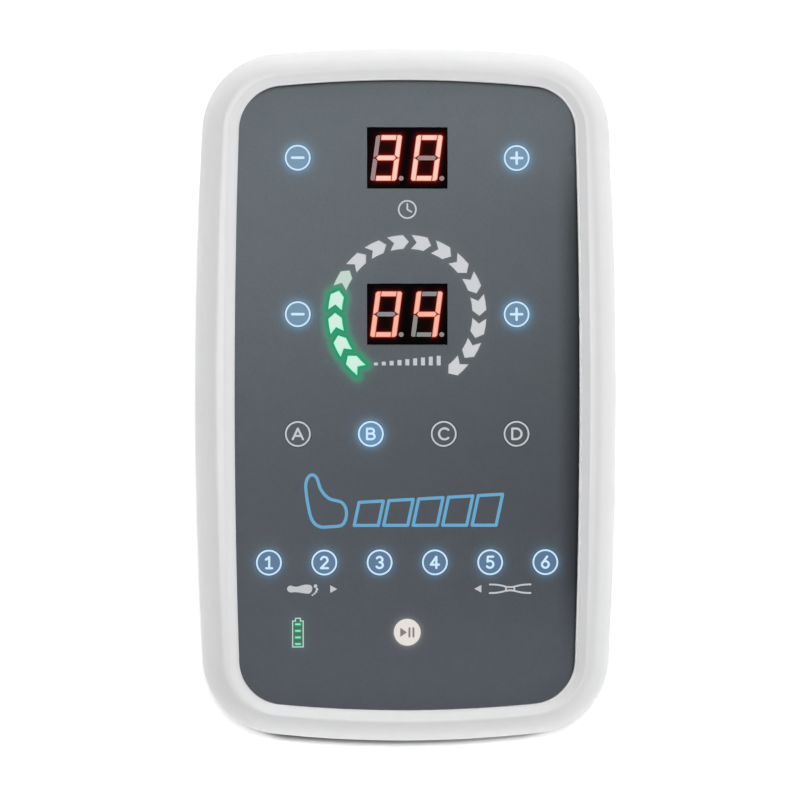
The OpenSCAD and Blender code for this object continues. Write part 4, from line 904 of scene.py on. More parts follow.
DIGIT_LINE, LETTER_LINE, SIGN_LINE = 0.7, 0.68, 0.8
SIGNS = {
    "minus": [[(-1.75, 0), (1.75, 0)]],
    "plus": [[(-1.75, 0), (1.75, 0)], [(0, -1.75), (0, 1.75)]],
    "1": [[(-0.95, 0.95), (0.1, 1.75), (0.1, -1.72)], [(-0.85, -1.75), (1.0, -1.75)]],
    "2": [sweep((0, 0.78), 1.02, 0.97, 165, -38), [(0.8, 0.18), (-1.05, -1.75), (1.15, -1.75)]],
    "3": [sweep((-0.05, 0.88), 0.93, 0.85, 150, -88), sweep((-0.05, -0.85), 1.05, 0.9, 88, -150)],
    "4": [[(0.45, -1.75), (0.45, 1.75), (-1.3, -0.72), (1.25, -0.72)]],
    "5": [[(0.95, 1.75), (-0.72, 1.75), (-0.85, 0.2)], sweep((-0.1, -0.65), 1.1, 1.08, 128, -145)],
    "6": [sweep((0, -0.72), 1.06, 1.03, 0, 360, 30), [(-0.88, -0.2), (0.55, 1.75)]],
    "A": [[(-1.6, -1.65), (0, 1.7), (1.6, -1.65)], [(-1.05, -0.6), (1.05, -0.6)]],
    "B": [[(0.1, 1.65), (-1.2, 1.65), (-1.2, -1.65), (0.2, -1.65)], [(-1.2, 0.08), (0.15, 0.08)],
          sweep((0.1, 0.87), 0.88, 0.78, 90, -90, 12), sweep((0.2, -0.79), 1.0, 0.86, 90, -90, 12)],
    "C": [sweep((0.25, 0), 1.72, 1.72, 46, 314, 30)],
    "D": [[(-0.2, 1.65), (-1.35, 1.65), (-1.35, -1.65), (-0.2, -1.65)],
          sweep((-0.2, 0), 1.75, 1.65, 90, -90, 24)],
}
KEY_SIGN = {"time_down": "minus", "time_up": "plus", "pressure_down": "minus", "pressure_up": "plus",
            **{f"mode_{c}": c.upper() for c in "abcd"}, **{f"chamber_{i}": str(i) for i in range(1, 7)}}
print("signs on keys:", len(KEY_SIGN))

# %% [markdown]
# ## Lit and printed finishes
# Two more finishes read the glow attribute. Lit epoxy or acrylic gives off the light that its
# vertices say and almost nothing else. White and light blue ink is matt, with a trace of tooth.

# %% Lit and ink materials
def lit_plastic(name, base_colour, roughness=0.35, level=0.2):
    """A diffusing plastic over a lamp: its vertices' light, a little uneven, over a dull base."""
    material, tree, place = new_material(name)
    light, open_share = vertex_light(tree)
    return finished(material, tree, {
        "Base Color": shaded(tree, tuple(linear(base_colour)), open_share), "Roughness": roughness,
        "Specular IOR Level": level, "Emission Strength": 1.0,
        "Emission Color": shaded(tree, light, speckle(tree, place, 0.6, 0.97, 1.03))})


white_ink = plastic("white_screen_ink", "#DDE1E6", 0.6, 0.3, 0.002, tone=0.03, level=0.2)
blue_ink = plastic("light_blue_screen_ink", "#73BDE8", 0.6, 0.3, 0.002, tone=0.03, level=0.2)
lit_print = lit_plastic("lit_key_print", "#808890", level=0.05)
milky_acrylic = lit_plastic("milky_acrylic_guide", "#D2D5D8", 0.4, 0.1)
display_epoxy = lit_plastic("display_epoxy", "#8A7F80", 0.35, 0.05)
display_black = lit_plastic("black_display_face", "#020304", 0.6, 0.01)

# %% [markdown]
# ## The keys
# Fifteen short-travel keys: a cap flush with the film, a flange that keeps it under the plate
# and a foot on its switch. The cap is turned, with rings of points across its face to carry the
# light. Its ring and sign are ink on top, and they move down with the key.

# %% Key caps and their print
KEY_EDGE, RING_IN, FILL_END, FILL_FADE, FILL_LEAST = 0.12, 3.5, 4.4, 0.5, 0.5
FLANGE_R, FLANGE_T, FOOT_TIP_R, SWITCH_H, KEY_TRAVEL, SEAT = 5.2, 1, 1.6, 3.1, 0.35, 0.05
flange_z = plate_z - SEAT - FLANGE_T
foot_z = board_z + SWITCH_H + KEY_TRAVEL + SEAT
cap_rings = [(r, film_z) for r in (3.95, 3.6, 3.2, 2.6, 2.0, 1.4, 0.7)]
cap_profile = [
    (0, foot_z), (FOOT_TIP_R, foot_z), (FOOT_TIP_R, flange_z), (FLANGE_R, flange_z),
    (FLANGE_R, flange_z + FLANGE_T), (KEY_R, flange_z + FLANGE_T), (KEY_R, film_z - KEY_EDGE),
    (KEY_R - KEY_EDGE / 3, film_z - KEY_EDGE / 3), (KEY_R - KEY_EDGE, film_z), *cap_rings, (0, film_z)]
ICE, LIT_FILL = linear("#CBE9FC"), (0.062, 0.162, 0.270)
warm_cap = lit_plastic("warm_white_polycarbonate", "#EAE4DD", 0.4, 0.2)


def cap_light(name, radius):
    """The light of a cap's face: an even fill inside the ring of a lit key, none on a dark one."""
    if name == "start":
        return np.tile(linear("#E1DBD5"), (len(radius), 1)), np.ones(len(radius))
    if name not in LIT_KEYS:
        return np.zeros((len(radius), 3)), np.zeros(len(radius))
    fill = {"c": (0.034, 0.105, 0.212), "m": (0.050, 0.180, 0.350)}.get(name[0], LIT_FILL)
    share = np.clip((FILL_END - radius) / FILL_FADE, FILL_LEAST, 1)
    return share[:, None] * fill, np.zeros(len(radius))


def key_print(name, at):
    """The outlines of a key's sign."""
    if name == "start":
        bars = [capsule((x, -1.3), (x, 1.3), 0.62) for x in (0.68, 1.92)]
        return [np.array([(-2.2, -1.45), (-0.12, 0.0), (-2.2, 1.45)]) + at, *(b + at for b in bars)]
    sign = KEY_SIGN[name]
    width = SIGN_LINE if sign in ("plus", "minus") else DIGIT_LINE if sign.isdigit() else LETTER_LINE
    return strokes(SIGNS[sign], width, at)


start_ink = plastic("brown_grey_ink", "#968C89", 0.6, 0.3, 0.002, tone=0.03, level=0.2)
for name, at in KEYS.items():
    cap = mesh_object(f"cap_{name}", *turned(cap_profile, (*at, 0), steps=96), smooth=30)
    height = np.array([v.co.z for v in cap.data.vertices]) / MM
    radius = np.linalg.norm(flat_points(cap) - at, axis=1)
    light, hidden = cap_light(name, radius)
    on_face = (height > film_z - 0.2)[:, None]
    set_glow(cap, light * on_face, hidden * on_face[:, 0])
    place_piece(cap, warm_cap if name == "start" else film_material,
                f"key_{name}", [f"key_{name}"])
    if name == "start":
        mark = mesh_object("print_start", *ink(key_print(name, at)))
        place_piece(mark, start_ink, "key_start")
        continue
    ring_part = ink([circle(at, PRINT_R, 96)], [circle(at, RING_IN, 96)])
    mark = mesh_object(f"print_{name}", *together(ring_part, ink(key_print(name, at))))
    lit = name in LIT_KEYS
    light_evenly(mark, ICE * lit, lit)
    place_piece(mark, lit_print if lit else white_ink, f"key_{name}")
print("keys:", len(KEYS))

# %% [markdown]
# ## The number displays
# Two standard modules, each a black face with two leaning digits of seven bars and a dot. The
# face is a plate with a hole for each bar, on top of a block, and its points glow red near a lit
# bar. A bar is a small prism of epoxy: pale where its lamp is, orange along its rim.

# %% Bars of the digits
DIGIT_W, DIGIT_H, DIGIT_PITCH, DIGIT_SHIFT, SLANT = 8.2, 14.2, 12.7, 0.25, 7.5
BAR_W, BAR_GAP, BAR_BEVEL, DOT_R, DOT_SHIFT, BAR_DEPTH = 1.5, 0.14, 0.5, 0.83, (0.6, 0.75), 1.5
LIT_BARS = {"0": "abcdef", "3": "abcdg", "4": "bcfg"}


def digit_bars(centre, inset=0.0):
    """The outlines of a digit's bars, by the usual letters, drawn in by a distance: a is the top
    bar, b and c stand on the right, d is the bottom bar, e and f stand on the left, g is the
    pointed middle bar, and p the dot. All lean over by the slant."""
    x, y, g = DIGIT_W / 2, DIGIT_H / 2, -inset
    upright = np.array([(x - BAR_W - g, y + g), (x - BAR_BEVEL, y + g), (x + g, y - BAR_BEVEL),
                        (x + g, BAR_GAP - g), (x - BAR_W / 3, BAR_GAP - g),
                        (x - BAR_W - g, BAR_W / 2 + BAR_GAP)])
    half = x - BAR_W - 2 * BAR_GAP + g
    level = np.array([(-half, y - BAR_W - g), (half, y - BAR_W - g), (half, y + g), (-half, y + g)])
    flat, point, thick = x - BAR_W - BAR_GAP, BAR_W / 2 - BAR_GAP + g, BAR_W / 2 + g
    middle = np.array([(-flat - point, 0), (-flat, -thick), (flat, -thick), (flat + point, 0),
                       (flat, thick), (-flat, thick)])
    bars = {"a": level, "d": level * (1, -1), "g": middle, "b": upright, "c": upright * (1, -1),
            "f": upright * (-1, 1), "e": upright * (-1, -1)}
    lean = math.tan(math.radians(SLANT))
    bars = {k: np.c_[p[:, 0] + lean * p[:, 1], p[:, 1]] for k, p in bars.items()}
    bars["p"] = circle((x + DOT_SHIFT[0], DOT_SHIFT[1] - y), DOT_R + g, 20)
    return {k: p + centre for k, p in bars.items()}


def display_bars(name, inset=0.0):
    """All bars of a display as (outline, lit) pairs."""
    found = []
    for side, shown in zip((-1, 1), {"time": "30", "pressure": "04"}[name]):
        x, y = displays[name]
        bars = digit_bars((x + side * DIGIT_PITCH / 2 - DIGIT_SHIFT, y), inset)
        found += [(shape, letter in LIT_BARS[shown]) for letter, shape in bars.items()]
    return found


DISPLAY_LOOK = {
    "time": {"core": "#FFCCBF", "rim": "#FFA27C", "dark": "#A56A6C", "dark_rim": "#D1ADB3",
             "red": (0.190, 0.002, 0.0), "haze": (0.014, 0.0012, 0.001)},
    "pressure": {"core": "#FDB3A4", "rim": "#FA9468", "dark": "#6F8483", "dark_rim": "#ADB9B8",
                 "red": (0.115, 0.002, 0.0), "haze": (0.004, 0.0006, 0.0006)}}
RED_REACH, HAZE_REACH, BAR_RIM, DARK_INSET, SPILL = 0.38, 0.9, 0.15, 0.1, 0.14
SPILL_LIGHT = np.array((0.45, 0.15, 0.09))


def bar_piece(name, lit):
    """The lit or the dark bars of a display, as prisms whose rim and core differ in light. The dark
    bars give off a faint painted light too.
    """
    look = DISPLAY_LOOK[name]
    outer = SEAT / 2 if lit else DARK_INSET
    rims, half, cores = ([shape for shape, on in display_bars(name, outer + k * BAR_RIM) if on == lit]
                         for k in (0, 0.6, 1.6))
    piece = mesh_object(f"{name}_bars_{'lit' if lit else 'dark'}",
                        *plate([*rims, *half, *cores], [], display_z, BAR_DEPTH))
    depth = nearest(flat_points(piece), rims)
    share = np.clip(depth / BAR_RIM, 0, 1)[:, None]
    core, rim = (linear(look[k]) for k in (("core", "rim") if lit else ("dark", "dark_rim")))
    # The dark bars get about a third of the light as painted light, paler at their rim.
    strength = 1.0 if lit else 0.35
    set_glow(piece, strength * (share * core + (1 - share) * rim), np.full(len(depth), float(lit)))
    return piece


def block_gap(points, centre):
    """How far points lie outside the leaning blocks of a display's two digits: 0 inside them."""
    x, y = (points - centre).T
    across = np.abs(np.abs(x - math.tan(math.radians(SLANT)) * y + DIGIT_SHIFT) - DIGIT_PITCH / 2)
    return np.hypot(np.maximum(across - DIGIT_W / 2, 0), np.maximum(np.abs(y) - DIGIT_H / 2, 0))


def face_piece(name):
    """The black face of a display with pockets for its bars, over the block of its body."""
    look, centre = DISPLAY_LOOK[name], displays[name]
    bars = [shape for shape, _ in display_bars(name)]
    lit = [shape for shape, on in display_bars(name) if on]
    rim = box_outline(centre, DISPLAY_W, DISPLAY_L)
    samples = lattice(rim.min(0) + 0.3, rim.max(0) - 0.3, 0.32)
    samples = samples[nearest(samples, bars) > 0.09]
    spill = [shape for shape, on in display_bars(name, -SPILL) if on]
    face = plate([rim, *spill], bars, display_z, BAR_DEPTH, [samples])
    low, high = rim.min(0), rim.max(0)
    body = block((*low, board_z), (*high, display_z - BAR_DEPTH))
    piece = mesh_object(f"{name}_display_face", *together(face, body))
    points = flat_points(piece)
    gap = nearest(points, lit)
    light = (fade(gap, RED_REACH)[:, None] * look["red"]
             + np.clip(1 - gap / SPILL, 0, 1)[:, None] * SPILL_LIGHT
             + fade(block_gap(points, centre), HAZE_REACH)[:, None] * look["haze"])
    set_glow(piece, light, np.zeros(len(points)))
    return piece


for name in displays:
    place_piece(face_piece(name), display_black, stands_for=[f"{name}_display"])
    place_piece(bar_piece(name, True), display_epoxy, stands_for=[f"{name}_bars"])
    place_piece(bar_piece(name, False), display_epoxy)
print("lit bars:", sum(on for name in displays for _, on in display_bars(name)))

# %% [markdown]
# ## The light guides
# The arrows are the tips of one milky acrylic moulding that comes up through plate and film.
# Four are lit green and the next one faintly. The rest are unlit, and their white is partly
# painted light that they give off themselves. The battery mark is the tip of a second, smaller
# guide, with its outline and its four levels lit.

# %% Arrows and battery mark
GUIDE_T, GUIDE_RIM = 1.6, 1.6
MINT, MINT_EDGE, PALE_MINT, UNLIT_WHITE = "#CFEBDE", "#9DF5D0", "#BFD5CB", "#DCDEE1"


def arrow_piece(name, numbers, core, edge, lit):
    """Some arrows as prisms: the light at a point goes from the edge's colour to the core's."""
    rims = [arrow(i, FILM_GAP) for i in numbers]
    inner = [arrow(i, inset) for i in numbers for inset in (0.25, 0.5)]
    piece = mesh_object(name, *plate([*rims, *inner], [], film_z, film_z - plate_z))
    depth = nearest(flat_points(piece), rims)
    share = np.clip(depth / 0.4, 0, 1)[:, None]
    light = share * linear(core) + (1 - share) * linear(edge)
    set_glow(piece, light * lit, np.full(len(depth), lit))
    return piece


guide_ring = plate([circle((0, PRESSURE_Y), ARROW_OUT + GUIDE_RIM, 96)],
                   [circle((0, PRESSURE_Y), ARROW_IN - GUIDE_RIM, 96)], plate_z, GUIDE_T)
ring_piece = mesh_object("gauge_guide_ring", *guide_ring)
place_piece(ring_piece, milky_acrylic, stands_for=["gauge_light_guide"])
for piece in (arrow_piece("arrows_lit", range(LIT_ARROWS), MINT, MINT_EDGE, 1.0),
              arrow_piece("arrow_next", [LIT_ARROWS], PALE_MINT, PALE_MINT, 0.9),
              # The unlit arrows give off half of their white as painted light.
              arrow_piece("arrows_unlit", range(LIT_ARROWS + 1, ARROW_COUNT),
                          UNLIT_WHITE, UNLIT_WHITE, 0.5)):
    place_piece(piece, milky_acrylic)

LEVEL_W, LEVEL_H, LEVEL_PITCH, LEVEL_SHIFT, MARK_LINE, GUIDE_HALF = 1.7, 0.52, 2.06, -0.48, 0.34, 6.3
GLASS_LIGHT = (0.045, 0.085, 0.07)
levels = [box_outline((-COLUMN_X, START_Y + LEVEL_SHIFT + LEVEL_PITCH * i), LEVEL_W, LEVEL_H)
          for i in (-1.5, -0.5, 0.5, 1.5)]
inside = battery_mark(FILM_GAP)
glass_samples = lattice(inside.min(0) + 0.2, inside.max(0) - 0.2, 0.25)
glass = mesh_object("battery_window", *together(
    plate([inside], [], film_z, film_z - plate_z, [glass_samples]),
    block((-COLUMN_X - MARK[0] / 2 - GUIDE_RIM, START_Y - GUIDE_HALF, plate_z - GUIDE_T),
          (-COLUMN_X + MARK[0] / 2 + GUIDE_RIM, START_Y + GUIDE_HALF, plate_z))))
gap = nearest(flat_points(glass), levels)
set_glow(glass, halo(gap, "levels") + GLASS_LIGHT, np.ones(len(gap)))
place_piece(glass, milky_acrylic, stands_for=["battery_light_guide"])
for name, colour, shapes, holes in (
        ("battery_outline", "#BED7CD", [inside], [battery_mark(FILM_GAP + MARK_LINE)]),
        ("battery_levels", "#7CEFC0", levels, [])):
    mark = mesh_object(name, *ink(shapes, holes))
    light_evenly(mark, linear(colour))
    place_piece(mark, milky_acrylic)
print("arrows:", ARROW_COUNT, "battery levels:", len(levels))

# %% [markdown]
# ## Signs on the film
# Small white signs say what the parts of the panel are for: a clock under the time, a row of
# rising bars under the pressure, and a footprint and a belted waist at the two ends of the row
# of chambers, each with its small arrowhead.

# %% White signs
CLOCK_Y, CLOCK_R, BARS_Y, ENDS_Y = 58.1, 2.95, 10.9, -60.5
DIAL_LINE, HAND_LINE, WAIST_LINE, POWER_LINE = 0.52, 0.5, 0.55, 0.5
RISING_W, RISING_X, RISING_LOW, RISING_HIGH = 1.25, 9.8, 0.9, 3.0
clock_hands = [[(0, CLOCK_Y + 1.75), (0, CLOCK_Y)], [(0, CLOCK_Y), (1.3, CLOCK_Y - 0.75)]]
dial = ink([circle((0, CLOCK_Y), CLOCK_R, 64)], [circle((0, CLOCK_Y), CLOCK_R - DIAL_LINE, 64)])
rising = [box_outline((x, BARS_Y - RISING_HIGH / 2 + h / 2), RISING_W, h)
          for x, h in zip(np.linspace(-RISING_X, RISING_X, 9), np.linspace(RISING_LOW, RISING_HIGH, 9))]
SOLE = [(-37.6, 0.1), (-36.7, 1.1), (-34.7, 0.75), (-32.0, 1.4), (-30.1, 1.15), (-29.7, -0.1),
        (-30.6, -1.35), (-32.6, -1.25), (-34.8, -0.95), (-36.8, -0.95)]
TOES = [(-28.7, 0.95, 0.58), (-28.25, -0.05, 0.42), (-28.5, -0.8, 0.38), (-29.0, -1.4, 0.34),
        (-29.65, -1.85, 0.3)]
footprint = [closed_curve(SOLE) + (0, ENDS_Y), *(circle((x, y + ENDS_Y), r, 20) for x, y, r in TOES)]
WAIST_X, WAIST_HALF, WAIST_DIP = 32.2, 6.4, 0.85
lie = np.linspace(-1, 1, 25)
waist_edge = np.c_[WAIST_X + WAIST_HALF * lie, 1.35 - WAIST_DIP * np.exp(-(lie / 0.45) ** 2)]
waist = [waist_edge, waist_edge * (1, -1),
         *([(WAIST_X + x, -0.45), (WAIST_X + x, 0.45)] for x in (-1.3, 1.3))]


def arrowhead(x, way, length=2.2, width=2.4):
    """A small solid arrowhead in the row of the ends, from its base at x along a direction."""
    return np.array([(x, ENDS_Y - width / 2), (x + way * length, ENDS_Y), (x, ENDS_Y + width / 2)])


white_shapes = [*footprint, arrowhead(-24.1, 1), arrowhead(23.2, -1), *rising,
                *strokes(clock_hands, HAND_LINE), *strokes(waist, WAIST_LINE, (0, ENDS_Y))]
signs = mesh_object("signs_white", *together(ink(white_shapes), dial))
place_piece(signs, white_ink)
print("white shapes:", len(white_shapes))

# %% [markdown]
# ## The drawing of the leg sleeve
# The middle of the panel holds a plain drawing in light blue: the sleeve that the pump fills,
# lying with its foot up, in a foot chamber and five leg chambers that widen towards the thigh.
# Its size and line width are those of a printed mark that is read from the bedside.

# %% Leg sleeve
SLEEVE_LINE, SLEEVE_LOW, LEG_START, LEG_END, LEG_GAP = 1.0, -40.6, -16.6, 27.8, 1.7
LEG_CHAMBERS, LEG_LOW_H, LEG_HIGH_H, LEG_LEAN = 5, 7.2, 9.8, 0.21
FOOT_CHAMBER = [(-27.6, -40.9), (-29.9, -38.6), (-31.2, -33.2), (-31.7, -27.6), (-30.3, -24.9),
                (-28.4, -25.6), (-27.0, -29.4), (-24.4, -32.2), (-20.4, -33.5), (-19.0, -36.6),
                (-20.2, -40.3), (-24.0, -41.0)]
foot_curve = closed_curve(FOOT_CHAMBER, 6)
leg_pitch = (LEG_END - LEG_START + LEG_GAP) / LEG_CHAMBERS
leg_lines = []
for i in range(LEG_CHAMBERS):
    x0, x1 = LEG_START + leg_pitch * i, LEG_START + leg_pitch * (i + 1) - LEG_GAP
    h0, h1 = (LEG_LOW_H + (LEG_HIGH_H - LEG_LOW_H) * (i + k) / LEG_CHAMBERS for k in (0, 0.8))
    corner = np.array([(x0, 0), (x1, 0), (x1, h1), (x0, h0), (x0, 0)]) + (0, SLEEVE_LOW)
    leg_lines.append(corner + np.c_[LEG_LEAN * (corner[:, 1] - SLEEVE_LOW), np.zeros(5)])
sleeve_shapes = strokes([np.concatenate((foot_curve, foot_curve[:1])), *leg_lines], SLEEVE_LINE)
sleeve = mesh_object("sign_leg_sleeve", *ink(sleeve_shapes))
place_piece(sleeve, blue_ink)
print("sleeve drawing:", round(sleeve.dimensions.x / MM, 1), "mm wide")

# %% [markdown]
# ## The power button
# A grey push button in a round recess in the right side. Its face is dished, so that a finger
# finds it, and carries the usual ring and bar. The cap is turned and the sign is a thin plate.

# %% Power button
BUTTON_FLANGE_R, BUTTON_EDGE, DISH, BUTTON_SIGN_R = POWER_R + 1, 0.5, 0.22, 2.1
button_low, button_high = (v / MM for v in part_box("power_button"))
button_l = button_high.x - button_low.x
flange_end = collar_x - SEAT - button_low.x
face_r = np.linspace(POWER_R - BUTTON_EDGE, 0, 9)
edge_turn = np.linspace(0, math.pi / 2, 5)
button_profile = [
    (0, 0), (BUTTON_FLANGE_R, 0), (BUTTON_FLANGE_R, flange_end), (POWER_R, flange_end),
    *zip(POWER_R - BUTTON_EDGE * (1 - np.cos(edge_turn)),
         button_l - BUTTON_EDGE * (1 - np.sin(edge_turn))),
    *zip(face_r[1:], button_l - DISH * (1 - (face_r[1:] / face_r[0]) ** 2))]
button = mesh_object("power_button_cap",
                     *turned(button_profile, (button_low.x, POWER_Y, power_z), "x", 96), smooth=35)
grey_abs = plastic("moulded_grey_ABS", "#CACBCD", 0.4, 0.35, 0.003)
place_piece(button, grey_abs, "power_button", ["power_button"])
power_lines = [sweep((0, 0), BUTTON_SIGN_R, BUTTON_SIGN_R, 125, 415, 40), [(0, 0.6), (0, 2.6)]]
sign_points, sign_faces = plate(strokes(power_lines, POWER_LINE), [], button_l - 0.03, 0.3)
power_sign = mesh_object("power_button_sign",
                         sign_points[:, [2, 0, 1]] + (button_low.x, POWER_Y, power_z), sign_faces)
place_piece(power_sign, start_ink, "power_button")
print("button:", round(button_l, 2), "mm long")

# %% [markdown]
# ## What moves or is held without change
# These solids already have their real shape, so they keep their meshes and get a finish each.

# %% Finishes of the solids
finishes = {
    "grey_abs": grey_abs,
    "socket_grey": plastic("moulded_mid_grey_ABS", "#A9ABAE", 0.45, 0.35, 0.003),
    "black_plastic": plastic("moulded_black_nylon", "#1B1C1D", 0.5, 0.4, 0.004),
    "led_white": plastic("lamp_encapsulant", "#E8E2C8", 0.3, 0.2, 0.001),
    "board_green": plastic("green_solder_mask", "#0F5A34", 0.3, 0.5, 0.002),
    "steel": metal("nickel_plated_steel", "#B9B9BB", 0.3, 0.12, (1, 8, 1)),
    "silicone": plastic("clear_silicone_tube", "#D8DBDB", 0.35, 0.5, 0.002),
    "nylon": plastic("natural_nylon", "#E0DDD3", 0.5, 0.4, 0.003),
    "coil_copper": metal("enamelled_copper_winding", "#B06A3A", 0.35, 0.22, (1, 10, 1)),
    "rubber": plastic("moulded_black_rubber", "#262728", 0.75, 0.3, 0.006, level=0.3),
    "foam": plastic("open_cell_foam", "#6E7072", 0.9, 0.5, 0.12, tone=0.2, level=0.1),
    "battery_wrap": plastic("shrink_wrap_sleeve", "#2B5FA8", 0.3, 0.8, 0.002),
    "white_abs": white_abs, "panel_film": film_material, "key_film": film_material,
    "start_key": warm_cap, "light_guide": milky_acrylic, "display_black": display_black,
    "display_bars": display_epoxy}
slot_of = {row["node"]: row["material_slot"] for row in frame["record"]["subparts"]}
for name, node in frame["nodes"].items():
    node.data.materials.clear()
    node.data.materials.append(finishes[slot_of[name]])
print("finishes:", len(finishes))

# %% [markdown]
# ## The valve springs
# Behind each plunger lies a small coil spring, which the stroke pushes together. The packed
# model holds all seven in one node, but each has to shorten with a plunger of its own. So each
# wire is swept round a helix here, in finer steps, and gets a mesh of its own.

# %% Valve springs
SPRING_WIRE_R, SPRING_TURNS, SPRING_STEPS = 0.35, 4, 24
spring_low, spring_high = (np.array(corner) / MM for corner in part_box("valve_springs"))
spring_l = spring_high[1] - spring_low[1]
strokes_of = {j["name"]: j["range_m"][1] / MM for j in frame["record"]["behaviour"]["joints"]
              if j["name"].startswith("valve_plunger")}


def helix(radius, length):
    """Points and faces of a coil spring: a circle of the wire's radius carried round the axis,
    while it rises evenly from one end to the other."""
    turn = np.linspace(0, 2 * math.pi * SPRING_TURNS, SPRING_TURNS * SPRING_STEPS + 1)[:, None]
    rise = SPRING_WIRE_R + (length - 2 * SPRING_WIRE_R) * turn / turn[-1]
    wire = circle((radius, 0), SPRING_WIRE_R, 10)[::-1]
    rings = np.stack((wire[:, 0] * np.cos(turn), wire[:, 0] * np.sin(turn), rise + wire[:, 1]), axis=-1)
    points, faces = skin(rings)
    return points[:, [1, 2, 0]], faces


for i, (joint, stroke) in enumerate(sorted(strokes_of.items()), start=1):
    axis_low, axis_high = (np.array(corner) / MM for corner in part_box(f"valve_plunger_{i}"))
    end = np.array([(axis_low[0] + axis_high[0]) / 2, spring_low[1], (axis_low[2] + axis_high[2]) / 2])
    points, faces = helix((spring_high[2] - spring_low[2]) / 2 - SPRING_WIRE_R, spring_l)
    spring = mesh_object(f"valve_spring_{i}", points + end, faces, smooth=40)
    place_piece(spring, finishes["steel"], stands_for=["valve_springs"])
    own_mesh(spring)
print("springs:", len(strokes_of), "of", round(spring_l, 2), "mm")

# %% [markdown]
# ## Stage and light
# A plain white floor, and the light of a white studio. Most of it comes from straight above, so
# the shadow is short and shows only as a line under the low end. White walls round the object,
# which stand lower than the lamp, light the sides: the walls at the two ends are the brightest and
# the left one is left dark, which is why the slope on the right of the film is the darkest.
# Lamps beyond the top end and on the right, and a weak one on the left, add what the walls leave
# out. To the camera the surround is plain white, and the floor is seen brighter than it lights.
# Soft light from all sides also fills the thin dark line that the photograph has right under the
# low end. The floor's paint is therefore shaded under the casing and a little beyond that end:
# the shade is the casing's rounded outline, moved towards the low end, with a soft edge. Far from
# the object the floor turns into the plain white of the surround.

# %% Surround and floor
FLOOR_WHITE, FLOOR_SEEN, SURROUND = 0.82, 1.70, 0.02
WALLS = {("X", 1): 0.95, ("X", -1): 0.12, ("Y", 1): 2.10, ("Y", -1): 2.35}
WALL_LOW, WALL_HIGH, WALL_REACH = 0.15, 0.6, 0.8


def seen_directly(tree):
    """1 for rays from the camera, off a mirror or through glass, 0 for the light that is shared."""
    path = add(tree, "LightPath").outputs
    either = maths(tree, "MAXIMUM", path["Is Camera Ray"], path["Is Glossy Ray"])
    return maths(tree, "MAXIMUM", either, path["Is Transmission Ray"])


world = bpy.data.worlds.new("white_studio")
world.use_nodes = True
tree = world.node_tree
tree.nodes.clear()
way = add(tree, "TexCoord").outputs["Generated"]
parts = add(tree, "SeparateXYZ", {"Vector": way}).outputs
low_band = s_curve(tree, parts["Z"], WALL_LOW, WALL_HIGH, 1.0, 0.0)
studio = SURROUND
for (axis, sign), level in WALLS.items():
    wall = s_curve(tree, parts[axis], 0.0, WALL_REACH * sign, 0.0, level)
    studio = maths(tree, "MULTIPLY_ADD", wall, low_band, studio)
strength = add(tree, "Mix", {"Factor": seen_directly(tree), "A": studio, "B": 1.0},
               data_type="FLOAT")
sky = add(tree, "Background", {"Color": (1, 1, 1, 1), "Strength": strength.outputs["Result"]})
add(tree, "OutputWorld", {"Surface": sky.outputs["Background"]})
scene.world = world

# %% Floor
SHADE_DARK, SHADE_BLUR, SHADE_SHIFT = 0.12, 1.5, (2.5, -12.3, 0)
SHADE_CORNER, SHADE_HALF = CASING["corner_r"], (64.5, 107, 0)
FAR_START, FAR_END, FLOOR_HALF = 0.4, 1.0, 3000
floor_paint, tree, place = new_material("white_floor_paint")
in_mm = shaded(tree, place, (1 / MM,) * 3)
x, y = add(tree, "SeparateXYZ", {"Vector": in_mm}).outputs[:2]
straight = maths(tree, "MULTIPLY_ADD", maths(tree, "MULTIPLY", x, x), -0.5 / CASING["low_r"], y)
spot = add(tree, "CombineXYZ", {"X": x, "Y": straight}).outputs[0]
room = tuple(h - SHADE_CORNER for h in SHADE_HALF[:2]) + (0,)
for step, other in (("SUBTRACT", SHADE_SHIFT), ("ABSOLUTE", (0, 0, 0)), ("SUBTRACT", room),
                    ("MAXIMUM", (0, 0, 0))):
    spot = add(tree, "VectorMath", {0: spot, 1: other}, operation=step).outputs[0]
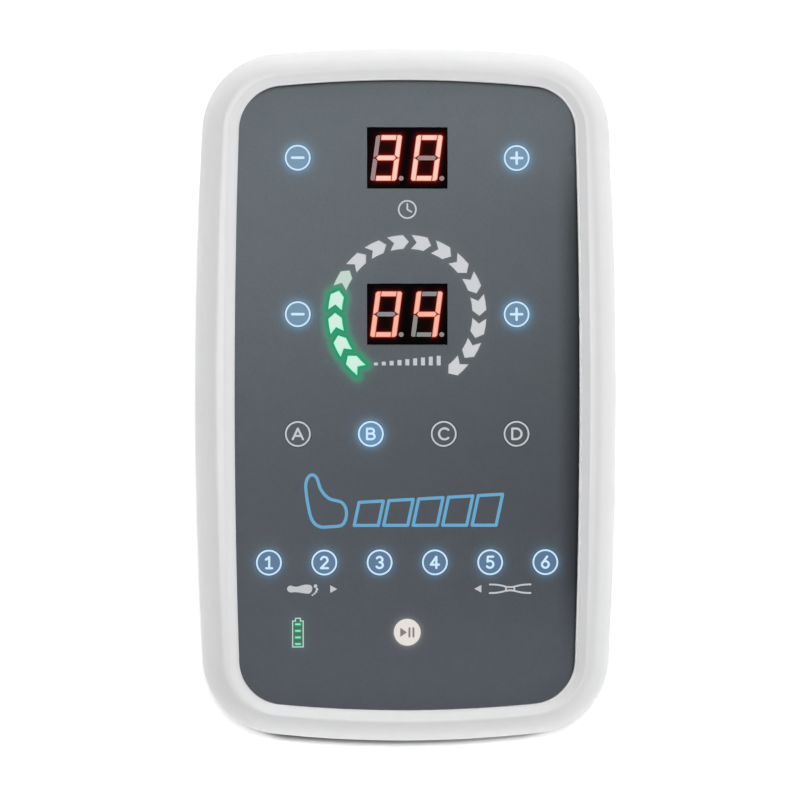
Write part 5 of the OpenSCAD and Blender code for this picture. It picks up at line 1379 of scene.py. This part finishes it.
out = add(tree, "VectorMath", {0: spot}, operation="LENGTH").outputs["Value"]
shade = s_curve(tree, out, SHADE_CORNER - SHADE_BLUR, SHADE_CORNER + SHADE_BLUR,
                SHADE_DARK * FLOOR_SEEN, FLOOR_SEEN)
seen = seen_directly(tree)
level = add(tree, "Mix", {"Factor": seen, "A": FLOOR_WHITE, "B": shade},
            data_type="FLOAT").outputs["Result"]
paint = add(tree, "BsdfDiffuse",
            {"Color": shaded(tree, (1.0, 1.0, 1.0), level), "Roughness": 0.3}).outputs["BSDF"]
away = add(tree, "VectorMath", {0: place}, operation="LENGTH").outputs["Value"]
far = maths(tree, "MULTIPLY", seen, s_curve(tree, away, FAR_START, FAR_END))
backdrop = add(tree, "Emission", {"Color": (1, 1, 1, 1), "Strength": 1.0}).outputs[0]
blend = add(tree, "MixShader", {0: far, 1: paint, 2: backdrop}).outputs[0]
add(tree, "OutputMaterial", {"Surface": blend})
floor_corners = box_outline((0, 0), 2 * FLOOR_HALF, 2 * FLOOR_HALF)
floor = mesh_object("floor", np.c_[floor_corners, np.zeros(4)], [[0, 1, 2, 3]])
floor.data.materials.append(floor_paint)
print("walls:", len(WALLS))

# %% Lamps
LAMPS = {  # place in metres, side in metres, power in watts
    "lamp_above": ((-0.04, 0.032, 1.3), 0.04, 3.7),
    "lamp_beyond_the_top": ((0.0, 0.836, 1.076), 0.5, 3.5),
    "lamp_on_the_right": ((1.178, 0.0, 0.629), 0.4, 0.6),
    "lamp_on_the_left": ((-1.065, 0.0, 0.826), 0.6, 0.2)}
LAMP_AIM = Vector((0, 0, 0.08))
for name, (spot, side, power) in LAMPS.items():
    data = bpy.data.lights.new(name, "AREA")
    data.shape, data.size, data.energy = "SQUARE", side, power
    lamp = bpy.data.objects.new(name, data)
    lamp.location = spot
    lamp.rotation_mode = "QUATERNION"
    lamp.rotation_quaternion = (LAMP_AIM - lamp.location).to_track_quat("-Z", "Y")
    scene.collection.objects.link(lamp)
print("lamps:", len(LAMPS))
